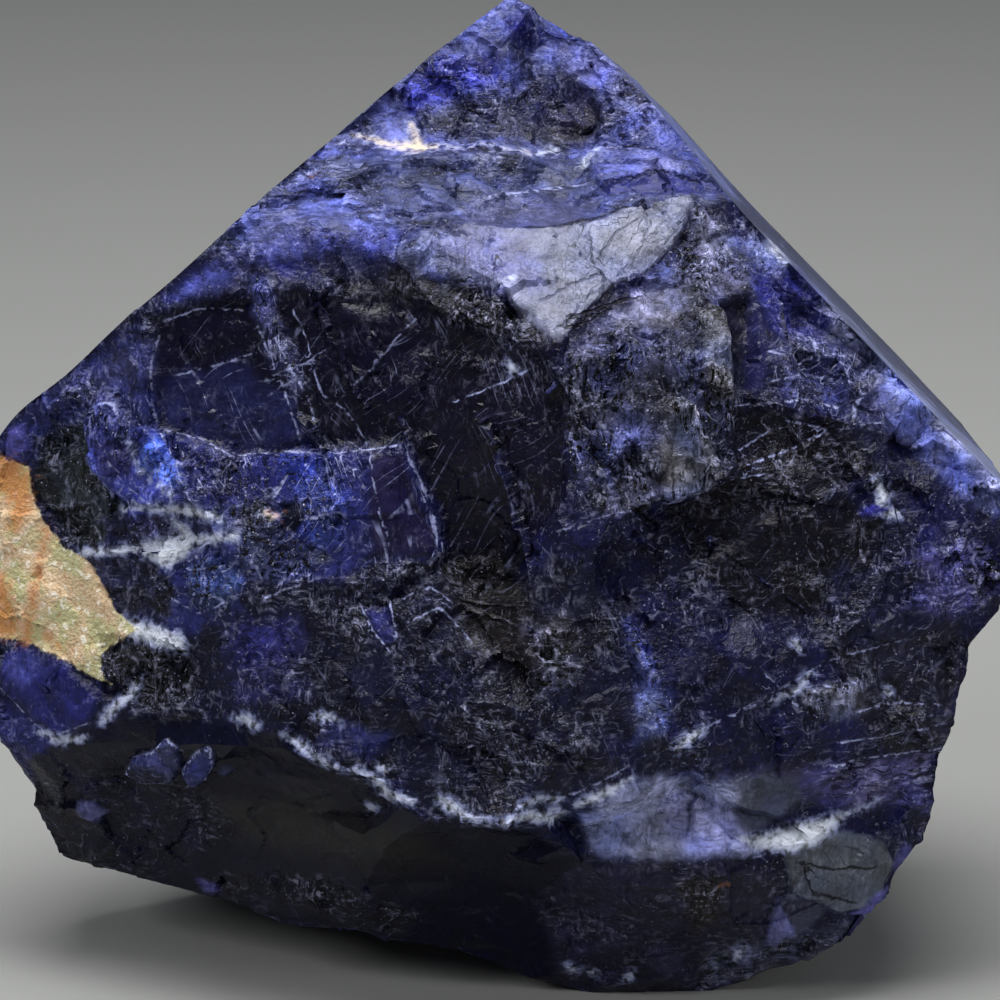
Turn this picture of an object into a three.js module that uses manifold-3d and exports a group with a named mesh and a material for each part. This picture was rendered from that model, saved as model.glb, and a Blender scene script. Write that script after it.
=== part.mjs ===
// A hand-sized piece of rough sodalite: a corner broken off a sawn block, one solid.
// It is worked out as such a stone is made. A block is bounded by flat breaks and two saw cuts,
// notches and a shell-shaped scoop are taken out of it, lumps stand on its crest, small flakes
// leave steps all over the broken faces, and the rough faces are then roughened. It stands on a
// small flat spot.
//
// The stone is shaped in the frame of its broad front, in millimetres: x to the right, y up the
// front and z out of it. The group then stands the stone up, with the front leaning back, so that
// +Z is up and the front faces -Y.

import * as THREE from "three";
import Module from "manifold-3d";
import { ConvexGeometry } from "three/addons/geometries/ConvexGeometry.js";
import { ImprovedNoise } from "three/addons/math/ImprovedNoise.js";
import { mergeVertices } from "three/addons/utils/BufferGeometryUtils.js";

const wasm = await Module();
wasm.setup();

// Driving dimensions, in millimetres and degrees.
const LEAN = 15; // how far the broad front leans back from upright
const SEAT = 39.7; // height of the front frame's origin above the flat spot
const SHIFT = [-0.263, -1.96]; // sets the part's origin under the middle of the stone's box, X and Y
const REACH = 150; // side of the raw blank, larger than the stone
const EDGE = { crown: 2.8, front: 3.9, back: 5.6 }; // longest edges on the broken faces
const EDGE_PLACES = { crownAbove: 27, backBehind: -14 }; // where those lengths change over, y and z
const FLAKES = 56; // small flakes struck off the broken faces
const FLAKE = { long: [5, 13], wide: [3.5, 7.5], slope: [4, 8], sides: 7, above: 5, flare: 1.25 };
const PLATES = 900; // flat little plates that the broken faces part into
const PLATE = { lift: 0.42, tilt: 0.1 }; // how far they stand in or out, and their slope
const GRAIN = { height: 0.3, size: 6, octaves: 3 }; // the grain on top of the plates
const RIM = 0.1; // how far rough ground stays inside a true face
const SEED = 7;

const rad = THREE.MathUtils.degToRad;

// A face is a point on it and the way it looks, outwards.
const face = (at, looks) => ({
  at: new THREE.Vector3(...at),
  looks: new THREE.Vector3(...looks).normalize(),
});

// The faces that stay true: the two saw cuts and the flat spot.
const SAWN_RIGHT = face([24.9, 24, -24], [0.715, 0.69, 0.11]);
const SAWN_LEFT = face([-20.85, 23.5, 0], [-0.664, 0.7475, 0]);
const DOWN = [0, -Math.cos(rad(LEAN)), -Math.sin(rad(LEAN))];
const FLAT_SPOT = face([0, SEAT * DOWN[1], SEAT * DOWN[2]], DOWN);
const TRUE_FACES = [SAWN_RIGHT, SAWN_LEFT, FLAT_SPOT];

// The tip of the bright cleavage, where the upper faces meet the broad front.
const TIP = [5.1, 13.2, 17.8];

const BLOCK = {
  crest: face([0.9, 42.7, -6], [0.5, 0.866, -0.1]),
  cleavage: face(TIP, [0.1, 0.62, 0.78]),
  brow: face(TIP, [-0.15, 0.38, 0.91]),
  frontLeft: face(TIP, [-0.2, 0.06, 0.978]),
  frontRight: face([5.1, 13.2, 18], [0.28, 0.05, 0.96]),
  shoulder: face([16.2, 25.8, 6.2], [0.35, 0.45, 0.82]),
  flank: face([-22, -7.6, 13.5], [-0.55, -0.08, 0.83]),
  leftSide: face([-43.8, -6, 0], [-0.99, 0, -0.12]),
  leftTop: face([-42.4, 3.6, 0], [-0.92, 0.4, -0.1]),
  leftLow: face([-43.2, -17, 0], [-0.957, -0.29, -0.15]),
  leftFoot: face([-39.6, -29.8, 0], [-0.79, -0.61, -0.12]),
  underLeft: face([-21.3, -18.7, 14.2], [-0.446, -0.589, 0.674]),
  underMiddle: face([-5.1, -27, 18.8], [0.02, -0.75, 0.66]),
  underRight: face([15, -37, 8.5], [0.1, -0.8, 0.6]),
  lowRight: face([22, -20, 14.6], [0.3, -0.35, 0.89]),
  bottomLeft: face([5.1, -41.2, 3], [-0.235, -0.971, -0.037]),
  rightTip: face([43.3, -3, 0], [0.99, -0.08, -0.14]),
  rightUpper: face([41.8, -8, 5], [0.954, -0.3, -0.14]),
  rightLower: face([36.6, -25.3, 5], [0.915, -0.404, -0.16]),
  rightFoot: face([33.6, -32, 5], [0.791, -0.611, -0.12]),
  rightHeel: face([29.4, -37.4, 3], [0.344, -0.939, -0.05]),
  back: face([0, -2, -27], [0.03, 0.05, -0.998]),
  backTop: face([0, 20, -24], [-0.08, 0.5, -0.86]),
  backLeft: face([-31, 0, -17], [-0.6, 0.05, -0.8]),
  backRight: face([37, -5, -22], [0.5, -0.12, -0.86]),
  backFoot: face([0, -30, -25], [0.05, -0.45, -0.89]),
};

// Each notch is the space outside all of its faces, and is taken out of the block.
const NOTCHES = {
  shelf: [face([3, 23.4, 9.2], [0.02, 0.87, 0.494]), face([0, 29.8, -2], [0, 0.34, 0.94])],
  window: [
    face([-29, 9, 9.7], [-0.24, 0.06, 0.969]),
    face([-14, 4.2, 13], [-0.13, 0.97, 0.2]),
    face([-29.2, 9, 10], [0.95, 0.1, 0.3]),
  ],
  step: [
    face([-6, -2, 15.5], [-0.28, 0.03, 0.96]),
    face([-6.5, -1, 15.5], [0.85, 0.46, 0.25]),
    face([0, -9, 16], [0.3, 0.9, 0.2]),
  ],
  ledge: [
    face([8.5, -34, 13.7], [0.17, 0.1, 0.98]),
    face([10, -24.4, 16], [0.3, -0.9, 0.3]),
    face([20, -25, 13], [-0.28, -0.91, 0.3]),
    face([5.5, -28, 15], [0.9, 0.3, 0.3]),
    face([31, -27, 9], [-0.9, 0.1, 0.42]),
  ],
  backStep: [
    face([-14, -6, -24.9], [0.16, 0.06, -0.985]),
    face([-12, -4, -26], [-0.55, -0.8, -0.25]),
    face([-22, -20, -26], [0.9, -0.35, -0.2]),
  ],
  backShelf: [face([6, 19, -21.5], [-0.05, 0.86, -0.5]), face([6, 24, -20], [-0.12, 0.3, -0.95])],
  leftStep: [
    face([-42.6, -4, -4], [-0.97, -0.2, 0.1]),
    face([-43, -1, -5], [-0.3, -0.9, -0.3]),
    face([-43, -8, -1.5], [-0.2, 0.2, -0.95]),
  ],
  rightStep: [
    face([39.2, -16, -6], [0.93, -0.34, 0.1]),
    face([41, -13, -6], [0.4, -0.88, 0.25]),
    face([40, -18, 1], [0.3, 0.2, -0.93]),
  ],
  rightBite: [face([39.6, -11.9, 5], [0.79, -0.61, 0]), face([39.6, -11.9, 5], [0.99, -0.12, 0])],
  leftBite: [face([-39.5, -24.7, 0], [-0.83, -0.555, 0]), face([-39.5, -24.7, 0], [-0.985, 0.17, 0])],
  underBite: [face([-5.1, -37, 8], [-0.38, -0.92, 0.06]), face([-5.1, -37, 8], [-0.14, -0.99, 0.06])],
};

// Shell-shaped scoops, each a ball stretched sideways: the point under its deepest spot, the way the
// surface looks there, its depth, its radius and how far it is stretched.
const SCOOPS = [
  { at: [-22, -27.5, 6.1], looks: [-0.446, -0.589, 0.674], deep: 1.8, round: 26, stretch: 1.6 },
  { at: [-4, -34, 10.8], looks: [-0.05, -0.74, 0.67], deep: 2.8, round: 30, stretch: 1.5 },
  { at: [13, -6, -27], looks: [0.03, 0.05, -1], deep: 3, round: 26, stretch: 1.3 },
  { at: [40, -20, -10], looks: [0.93, -0.35, -0.15], deep: 1.6, round: 14, stretch: 1.4 },
];

// Lumps on the crest and crown: where each is, and its size.
const LUMPS = [
  { at: [1.2, 39.6, -7.5], size: 3.2 },
  { at: [5.4, 37.2, -7.8], size: 3 },
  { at: [9, 34.6, -7.8], size: 2.9 },
  { at: [-3.2, 36, -6.6], size: 2.8 },
  { at: [-8, 31.6, -4.8], size: 2.6 },
];

// Balls, stretched along the axes, in which the shape is spared flakes and most of the roughness:
// the bright cleavage, the window and the two scoops under the front.
const SPARED = [
  { at: [6, 18, 14], radii: [11, 7, 9] },
  { at: [-25, 11, 10], radii: [8, 8, 9] },
  { at: [-16, -35, 6], radii: [25, 12, 16] },
];
const SPARED_ROUGHNESS = 0.4;

// Balls in which the surface is rougher than elsewhere: the crown, and the brow under the shelf.
const ROUGHER = [
  { at: [1, 36, -5], radii: [18, 8, 8], extra: 1.3 },
  { at: [1, 17, 14], radii: [15, 4, 8], extra: 0.9 },
];

// A seeded random number from 0 to 1, the same on every run.
function seeded(seed) {
  let state = seed;
  return () => {
    state = (state + 0x6d2b79f5) | 0;
    let t = Math.imul(state ^ (state >>> 15), 1 | state);
    t = (t + Math.imul(t ^ (t >>> 7), 61 | t)) ^ t;
    return ((t ^ (t >>> 14)) >>> 0) / 4294967296;
  };
}
const random = seeded(SEED);
const between = (low, high) => low + (high - low) * random();

const perlin = new ImprovedNoise();

// The grain's height at a point: noise of several octaves.
function grainHeight(p) {
  let sum = 0;
  for (let octave = 0; octave < GRAIN.octaves; octave++) {
    const q = p.clone().multiplyScalar(2 ** octave / GRAIN.size);
    sum += perlin.noise(q.x, q.y, q.z + octave) / 2 ** octave;
  }
  return GRAIN.height * sum;
}

// A closed three.js geometry as a solid.
function solidOf(geometry) {
  const bare = new THREE.BufferGeometry();
  bare.setAttribute("position", geometry.getAttribute("position"));
  if (geometry.index) bare.setIndex(geometry.index);
  const merged = mergeVertices(bare, 1e-4);
  return new wasm.Manifold(
    new wasm.Mesh({
      numProp: 3,
      vertProperties: new Float32Array(merged.attributes.position.array),
      triVerts: new Uint32Array(merged.index.array),
    }),
  );
}

const Y_AXIS = new THREE.Vector3(0, 1, 0);
const Z_AXIS = new THREE.Vector3(0, 0, 1);

// A large box on the outer side of a face, resting on it.
function beyond(plane) {
  const box = new THREE.BoxGeometry(3 * REACH, 3 * REACH, REACH).translate(0, 0, REACH / 2);
  box.applyQuaternion(new THREE.Quaternion().setFromUnitVectors(Z_AXIS, plane.looks));
  return solidOf(box.translate(plane.at.x, plane.at.y, plane.at.z));
}

// What is left of a large blank on the inner side of every face.
function inside(faces) {
  let left = solidOf(new THREE.BoxGeometry(REACH, REACH, REACH));
  for (const plane of faces) left = left.subtract(beyond(plane));
  return left;
}

// The space outside every face.
function outside(faces) {
  return inside(faces.map((plane) => ({ at: plane.at, looks: plane.looks.clone().negate() })));
}

function scoopSolid({ at, looks, deep, round, stretch }) {
  const out = new THREE.Vector3(...looks).normalize();
  const aside = new THREE.Vector3().crossVectors(Y_AXIS, out).normalize();
  const place = new THREE.Matrix4().makeBasis(aside, new THREE.Vector3().crossVectors(out, aside), out);
  place.setPosition(new THREE.Vector3(...at).addScaledVector(out, round - deep));
  return solidOf(new THREE.SphereGeometry(round, 56, 36).scale(stretch, 1, 1).applyMatrix4(place));
}

// A random way in space, of length 1.
function anyWay() {
  const [down, around] = [Math.acos(between(-1, 1)), between(0, 2 * Math.PI)];
  return new THREE.Vector3().setFromSphericalCoords(1, down, around);
}

// An angular lump: the hull of points scattered over a ball.
function lumpSolid({ at, size }) {
  const points = [];
  for (let i = 0; i < 16; i++)
    points.push(anyWay().multiplyScalar(size * between(0.8, 1.1)).add(new THREE.Vector3(...at)));
  return solidOf(new ConvexGeometry(points));
}

// The triangles of a solid, as an array of corners and an array of corner numbers.
function trianglesOf(solid) {
  const mesh = solid.getMesh();
  const corners = [];
  for (let i = 0; i < mesh.numVert; i++) {
    const start = i * mesh.numProp;
    corners.push(new THREE.Vector3(...mesh.vertProperties.subarray(start, start + 3)));
  }
  return { corners, triangles: [...mesh.triVerts] };
}

const heightOver = (plane, p) => plane.looks.dot(p) - plane.looks.dot(plane.at);
const trueFacesAt = (...points) =>
  TRUE_FACES.filter((plane) => points.every((p) => Math.abs(heightOver(plane, p)) < 0.02));

function normalOf(a, b, c) {
  return new THREE.Vector3().crossVectors(b.clone().sub(a), c.clone().sub(a));
}

// How far a point is from the middle of a stretched ball: 1 on its skin.
function awayFrom({ at, radii }, p) {
  return Math.hypot((p.x - at[0]) / radii[0], (p.y - at[1]) / radii[1], (p.z - at[2]) / radii[2]);
}

const isSpared = (p) => SPARED.some((ball) => awayFrom(ball, p) < 1);

// A random spot on the broken faces, by area, with the way the surface looks there.
function spotOn({ corners, triangles }) {
  const spots = [];
  let area = 0;
  for (let t = 0; t < triangles.length; t += 3) {
    const [a, b, c] = [0, 1, 2].map((k) => corners[triangles[t + k]]);
    const middle = a.clone().add(b).add(c).divideScalar(3);
    if (trueFacesAt(a, b, c).length || isSpared(middle)) continue;
    const normal = normalOf(a, b, c);
    area += normal.length() / 2;
    spots.push({ a, b, c, normal, upTo: area });
  }
  const wanted = random() * area;
  const { a, b, c, normal } = spots.find((spot) => spot.upTo >= wanted);
  const [s, t] = [Math.sqrt(random()), random()];
  const at = a.clone().multiplyScalar(1 - s).addScaledVector(b, s * (1 - t)).addScaledVector(c, s * t);
  return { at, normal: normal.normalize() };
}

// A flake: a tilted floor inside a broken outline. The floor is deepest along one side, where it
// leaves a step, and rises out of the surface at the other.
function flakeSolid({ at, normal }) {
  const side = anyWay();
  side.addScaledVector(normal, -side.dot(normal)).normalize();
  const along = new THREE.Vector3().crossVectors(side, normal);
  const [long, wide] = [between(...FLAKE.long), between(...FLAKE.wide)];
  const slope = Math.tan(rad(between(...FLAKE.slope)));
  const points = [];
  for (let i = 0; i < FLAKE.sides; i++) {
    const turn = ((i + between(-0.3, 0.3)) * 2 * Math.PI) / FLAKE.sides;
    const reach = between(0.75, 1.15);
    const [l, s] = [long * reach * Math.cos(turn), wide * reach * Math.sin(turn)];
    const away = along.clone().multiplyScalar(l).addScaledVector(side, s);
    points.push(at.clone().add(away).addScaledVector(normal, slope * l));
    points.push(at.clone().addScaledVector(away, FLAKE.flare).addScaledVector(normal, FLAKE.above));
  }
  return solidOf(new ConvexGeometry(points));
}

// The longest edge allowed around a point.
function longestAt(p) {
  if (p.z < EDGE_PLACES.backBehind) return EDGE.back;
  return p.y > EDGE_PLACES.crownAbove ? EDGE.crown : EDGE.front;
}

// Splits every edge over the longest length, and turns edges on flat ground for rounder triangles.
function refine({ corners, triangles }) {
  const key = (a, b) => (a < b ? a * 1e6 + b : b * 1e6 + a);
  for (let round = 0; round < 12; round++) {
    turnEdges({ corners, triangles });
    const middles = new Map();
    for (let t = 0; t < triangles.length; t += 3)
      for (let k = 0; k < 3; k++) {
        if (trueFacesAt(...triangles.slice(t, t + 3).map((i) => corners[i])).length) continue;
        const [a, b] = [triangles[t + k], triangles[t + ((k + 1) % 3)]];
        const middle = corners[a].clone().lerp(corners[b], 0.5);
        if (middles.has(key(a, b)) || corners[a].distanceTo(corners[b]) <= longestAt(middle)) continue;
        middles.set(key(a, b), corners.length);
        corners.push(middle);
      }
    if (!middles.size) break;
    triangles = splitTriangles(triangles, (a, b) => middles.get(key(a, b)));
  }
  turnEdges({ corners, triangles });
  return { corners, triangles };
}

// Each triangle parted at the middles that its edges have.
function splitTriangles(triangles, middle) {
  const parted = [];
  for (let t = 0; t < triangles.length; t += 3) {
    let [a, b, c] = triangles.slice(t, t + 3);
    let cut = [middle(a, b), middle(b, c), middle(c, a)];
    const count = cut.filter((m) => m !== undefined).length;
    // Turned so that the first edge is cut, and the last is whole where it can be.
    while (count && count < 3 && (cut[0] === undefined || cut[2] !== undefined)) {
      [a, b, c] = [b, c, a];
      cut = [cut[1], cut[2], cut[0]];
    }
    const [ab, bc, ca] = cut;
    if (count === 0) parted.push(a, b, c);
    else if (count === 1) parted.push(a, ab, c, ab, b, c);
    else if (count === 2) parted.push(ab, b, bc, a, ab, bc, a, bc, c);
    else parted.push(a, ab, ca, ab, b, bc, ca, bc, c, ab, bc, ca);
  }
  return parted;
}

const cosAt = (p, a, b) => {
  const [u, v] = [a.clone().sub(p), b.clone().sub(p)];
  return u.dot(v) / Math.max(u.length() * v.length(), 1e-12);
};

// Turns the edge between two triangles in one plane where that opens their sharpest corners.
function turnEdges({ corners, triangles }) {
  const FLAT = 0.99995;
  for (let round = 0; round < 4; round++) {
    const edges = new Map();
    for (let t = 0; t < triangles.length; t += 3)
      for (let k = 0; k < 3; k++) edges.set(triangles[t + k] * 1e6 + triangles[t + ((k + 1) % 3)], t);
    const taken = new Set();
    for (const [code, first] of edges) {
      const [a, b] = [Math.floor(code / 1e6), code % 1e6];
      const second = edges.get(b * 1e6 + a);
      if (a > b || second === undefined || taken.has(first) || taken.has(second)) continue;
      const c = triangles.slice(first, first + 3).find((i) => i !== a && i !== b);
      const d = triangles.slice(second, second + 3).find((i) => i !== a && i !== b);
      if (edges.has(c * 1e6 + d) || edges.has(d * 1e6 + c)) continue;
      const [A, B, C, D] = [a, b, c, d].map((i) => corners[i]);
      // Two opposite corners that add up to over a half turn are better joined.
      if (cosAt(C, A, B) + cosAt(D, A, B) >= -1e-3) continue;
      const [before, after, other] = [normalOf(A, B, C), normalOf(A, D, C), normalOf(D, B, C)];
      const kept = normalOf(B, A, D).normalize();
      if (before.normalize().dot(kept) < FLAT) continue;
      if (after.normalize().dot(kept) < FLAT || other.normalize().dot(kept) < FLAT) continue;
      triangles.splice(first, 3, a, d, c);
      triangles.splice(second, 3, d, b, c);
      taken.add(first).add(second);
    }
    if (!taken.size) break;
  }
}

// How rough the broken surface is at a point.
function roughnessAt(p) {
  if (isSpared(p)) return SPARED_ROUGHNESS;
  return ROUGHER.reduce((sum, ball) => sum + ball.extra * Math.exp(-(awayFrom(ball, p) ** 2)), 1);
}

// The plates: where each is, how far it stands out and how it tilts.
function makePlates() {
  const plates = [];
  for (let i = 0; i < PLATES; i++) {
    const at = new THREE.Vector3(between(-46, 46), between(-44, 44), between(-30, 22));
    plates.push({ at, lift: between(-PLATE.lift, PLATE.lift), tilt: anyWay().multiplyScalar(PLATE.tilt) });
  }
  return plates;
}

// How far the plate around a point stands out there.
function plateHeight(plates, p) {
  let [nearest, least] = [plates[0], Infinity];
  for (const plate of plates) {
    const away = plate.at.distanceToSquared(p);
    if (away < least) [nearest, least] = [plate, away];
  }
  return nearest.lift + nearest.tilt.dot(p.clone().sub(nearest.at));
}

// Moves the corners of the broken faces in and out, and keeps the true faces true.
function roughen({ corners, triangles }) {
  const plates = makePlates();
  const normals = corners.map(() => new THREE.Vector3());
  for (let t = 0; t < triangles.length; t += 3) {
    const [a, b, c] = [0, 1, 2].map((k) => triangles[t + k]);
    const normal = normalOf(corners[a], corners[b], corners[c]);
    for (const i of [a, b, c]) normals[i].add(normal);
  }
  const moved = corners.map((p, i) => {
    const height = plateHeight(plates, p) + grainHeight(p);
    const move = normals[i].normalize().multiplyScalar(roughnessAt(p) * height);
    const kept = trueFacesAt(p);
    if (kept.length > 1) return p;
    for (const plane of kept) move.addScaledVector(plane.looks, -move.dot(plane.looks));
    const to = p.clone().add(move);
    // Nothing rough stands out past a true face.
    for (const plane of TRUE_FACES)
      if (!kept.includes(plane)) to.addScaledVector(plane.looks, -Math.max(0, heightOver(plane, to) + RIM));
    return to;
  });
  return { corners: moved, triangles };
}

function stoneGeometry() {
  let stone = inside([...Object.values(BLOCK), SAWN_RIGHT, SAWN_LEFT, FLAT_SPOT]);
  for (const notch of Object.values(NOTCHES)) stone = stone.subtract(outside(notch));
  for (const scoop of SCOOPS) stone = stone.subtract(scoopSolid(scoop));
  for (const lump of LUMPS) stone = stone.add(lumpSolid(lump).intersect(inside([SAWN_RIGHT, SAWN_LEFT])));
  for (let i = 0; i < FLAKES; i++) stone = stone.subtract(flakeSolid(spotOn(trianglesOf(stone))));
  const { corners, triangles } = roughen(refine(trianglesOf(stone)));
  const geometry = new THREE.BufferGeometry().setFromPoints(corners);
  geometry.setIndex(triangles);
  geometry.computeVertexNormals();
  return geometry;
}

const sodalite = new THREE.MeshStandardMaterial({ color: 0x1c2252, roughness: 0.45, metalness: 0 });
const stone = new THREE.Mesh(stoneGeometry(), sodalite);
stone.name = "rough_sodalite";

const specimen = new THREE.Group();
specimen.add(stone);
specimen.rotation.x = rad(90 - LEAN);
specimen.position.set(SHIFT[0], SHIFT[1], SEAT);

export default specimen;
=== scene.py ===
import math
from collections import namedtuple

import bpy
import numpy as np
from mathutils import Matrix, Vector


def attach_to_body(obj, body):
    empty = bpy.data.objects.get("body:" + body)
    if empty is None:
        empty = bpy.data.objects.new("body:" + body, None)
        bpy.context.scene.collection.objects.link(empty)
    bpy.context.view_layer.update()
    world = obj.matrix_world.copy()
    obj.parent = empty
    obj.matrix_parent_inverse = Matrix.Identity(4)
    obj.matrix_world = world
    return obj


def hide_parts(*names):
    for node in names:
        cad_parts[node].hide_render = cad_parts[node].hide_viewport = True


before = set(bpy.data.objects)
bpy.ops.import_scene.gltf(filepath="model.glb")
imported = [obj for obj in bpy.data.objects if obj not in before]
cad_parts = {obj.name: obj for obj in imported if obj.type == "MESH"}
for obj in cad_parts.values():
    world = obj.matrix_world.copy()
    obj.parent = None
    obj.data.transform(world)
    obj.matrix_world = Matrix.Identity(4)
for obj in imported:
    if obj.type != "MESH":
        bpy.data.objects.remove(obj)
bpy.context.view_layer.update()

# The looks of a piece of rough sodalite. The stone's solid is refined into a fine mesh and its
# broken faces get plates, steps and grain. Every corner of the mesh then learns what the stone is
# made of there, and what shade, sheen and highlights are painted on it, and one procedural material
# reads that and adds what is finer than the mesh.

# ---- Named values. Lengths are in millimetres unless a comment says otherwise.

MM = 0.001
STONE = "rough_sodalite"

# The stone's front frame: x to the right, y up the broad front, z out of it.
LEAN = math.radians(15)
FRONT_ORIGIN = np.array([-0.263, -1.96, 39.7])

# The photograph's camera, straight in front of the broad front. Pixels count from the top left.
CAMERA_DISTANCE = 450
PHOTO_SIZE = 1000
PIXEL = 0.085
SENSOR_WIDTH = 36

# The true faces, in the front frame: a point and the way each looks. A corner this near is on one.
DOWN = (0, -math.cos(LEAN), -math.sin(LEAN))
SAWN_RIGHT = ((24.9, 24, -24), (0.715, 0.69, 0.11))
SAWN_LEFT = ((-20.85, 23.5, 0), (-0.664, 0.7475, 0))
FLAT_SPOT = (tuple(FRONT_ORIGIN[2] * part for part in DOWN), DOWN)
TRUE_FACES = (SAWN_RIGHT, SAWN_LEFT, FLAT_SPOT)
ON_FACE = 0.02

# The finished mesh: its longest edges, and the bend that makes a sharp edge.
EDGE_FRONT = 0.56
EDGE_BACK = 1.35
EDGE_SAWN = 1.6
SHARP = math.radians(27)

# Before that, a mesh this many times coarser is softened, all but its creases. Each mesh is split a
# fixed number of rounds: more would go back and forth where the lengths change.
COARSE = 2.4
SPLIT_ROUNDS = 6
SOFT_ROUNDS = 1
CREASE = math.radians(34)


# ---- Frames


def to_front(points):
    """World millimetres to the front frame."""
    x, y, z = (points - FRONT_ORIGIN).T
    up, out = math.sin(LEAN), math.cos(LEAN)
    return np.column_stack([x, y * up + z * out, z * up - y * out])


def to_world(points):
    """The front frame to world millimetres."""
    x, y, z = points.T
    up, out = math.sin(LEAN), math.cos(LEAN)
    return np.column_stack([x, y * up - z * out, y * out + z * up]) + FRONT_ORIGIN


def to_pixels(points):
    """Where the photograph's camera sees points of the front frame."""
    nearness = CAMERA_DISTANCE / (CAMERA_DISTANCE - points[:, 2]) / PIXEL
    return PHOTO_SIZE / 2 + points[:, 0] * nearness, PHOTO_SIZE / 2 - points[:, 1] * nearness


def ramp(value, low, high):
    """A smooth step from 0 at low to 1 at high."""
    t = np.clip((value - low) / (high - low), 0, 1)
    return t * t * (3 - 2 * t)


def blend(a, b, share):
    """Each point's number, or row of numbers, taken from a towards b by its share."""
    return a + (b - a) * (share[:, None] if a.ndim == 2 else share)


def unit(vectors):
    return vectors / np.maximum(np.linalg.norm(vectors, axis=-1, keepdims=True), 1e-12)


def height_over(face, points):
    """How far points stand out of a face's plane."""
    return (points - np.array(face[0])) @ unit(np.array(face[1]))


def lies_on(face, points):
    return np.abs(height_over(face, points)) < ON_FACE


# ---- Noise


def random_at(cells, seed):
    """A number from 0 to 1 for each whole-numbered cell."""
    i, j, k = (cells[:, n].astype(np.int64) for n in range(3))
    code = (i * 374761393 + j * 668265263 + k * 2147483647 + seed * 1274126177) & 0xFFFFFFFF
    code = ((code ^ (code >> 13)) * 1274126177) & 0xFFFFFFFF
    code = ((code ^ (code >> 16)) * 2246822519) & 0xFFFFFFFF
    return ((code ^ (code >> 15)) & 0xFFFFFF) / float(0x1000000)


def smooth_noise(points, size, seed):
    """Perlin's noise, from about -1 to 1, with features of the given size."""
    scaled = points / size + seed * 7.31
    cell = np.floor(scaled)
    within = scaled - cell
    fade = within**3 * (within * (within * 6 - 15) + 10)
    total = np.zeros(len(points))
    for corner in np.ndindex(2, 2, 2):
        at = cell + corner
        turn = random_at(at, seed) * 2 * math.pi
        level = random_at(at, seed + 101) * 2 - 1
        flat = np.sqrt(1 - level**2)
        x, y, z = (within - corner).T
        slope = (x * np.cos(turn) + y * np.sin(turn)) * flat + z * level
        total += slope * np.prod(np.where(corner, fade, 1 - fade), axis=1)
    return total * 1.6


def cloudy(points, size, seed, octaves=3):
    """Noise with finer noise on it."""
    total = sum(smooth_noise(points, size / 2**n, seed + n) / 2**n for n in range(octaves))
    return total / (2 - 0.5 ** (octaves - 1))


def plates(points, size, seed, lift, tilt):
    """Height of flat plates of the given size, each standing a little in or out and leaning."""
    scaled = points / size
    cell = np.floor(scaled)
    best = np.full(len(points), np.inf)
    height = np.zeros(len(points))
    for step in np.ndindex(3, 3, 3):
        at = cell + np.array(step) - 1
        centre = at + np.column_stack([random_at(at, seed + n) for n in range(3)])
        away = scaled - centre
        distance = (away**2).sum(axis=1)
        lean = np.column_stack([random_at(at, seed + 3 + n) * 2 - 1 for n in range(3)])
        own = lift * (random_at(at, seed + 6) * 2 - 1) + tilt * size * (lean * away).sum(axis=1)
        nearer = distance < best
        best = np.where(nearer, distance, best)
        height = np.where(nearer, own, height)
    return height


# ---- Mesh work, on arrays of corners and triangles

# An edge's code is the number of its lower corner times this, plus the number of its higher corner.
CODE = 1 << 22


def edges_of(triangles):
    """The codes of a mesh's edges, and the numbers of each triangle's three edges."""
    ends = triangles[:, [0, 1, 1, 2, 2, 0]].reshape(-1, 2)
    codes = ends.min(axis=1) * CODE + ends.max(axis=1)
    unique, which = np.unique(codes, return_inverse=True)
    return unique, which.reshape(-1, 3)


def face_normals(points, triangles):
    """Each triangle's normal, as long as twice its area."""
    a, b, c = (points[triangles[:, n]] for n in range(3))
    return np.cross(b - a, c - a)


def corner_normals(points, triangles):
    normals = face_normals(points, triangles)
    total = np.zeros_like(points)
    for n in range(3):
        for axis in range(3):
            total[:, axis] += np.bincount(triangles[:, n], normals[:, axis], len(points))
    return unit(total)


def creases_of(points, triangles):
    """The codes of the edges at which the mesh bends sharply."""
    codes, which = edges_of(triangles)
    normals = unit(face_normals(points, triangles))
    sides = np.argsort(which.ravel(), kind="stable") // 3
    bends = (normals[sides[0::2]] * normals[sides[1::2]]).sum(axis=1) < math.cos(CREASE)
    return codes[bends]


def longest_edges(points, normals):
    """How long an edge may be at each point of the surface."""
    front = ramp(normals[:, 2], -0.1, 0.1)
    length = EDGE_BACK + (EDGE_FRONT - EDGE_BACK) * front
    for face in TRUE_FACES:
        length = np.where(lies_on(face, points), EDGE_SAWN, length)
    return length


def stacked(*corners):
    return np.column_stack(corners)


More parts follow.
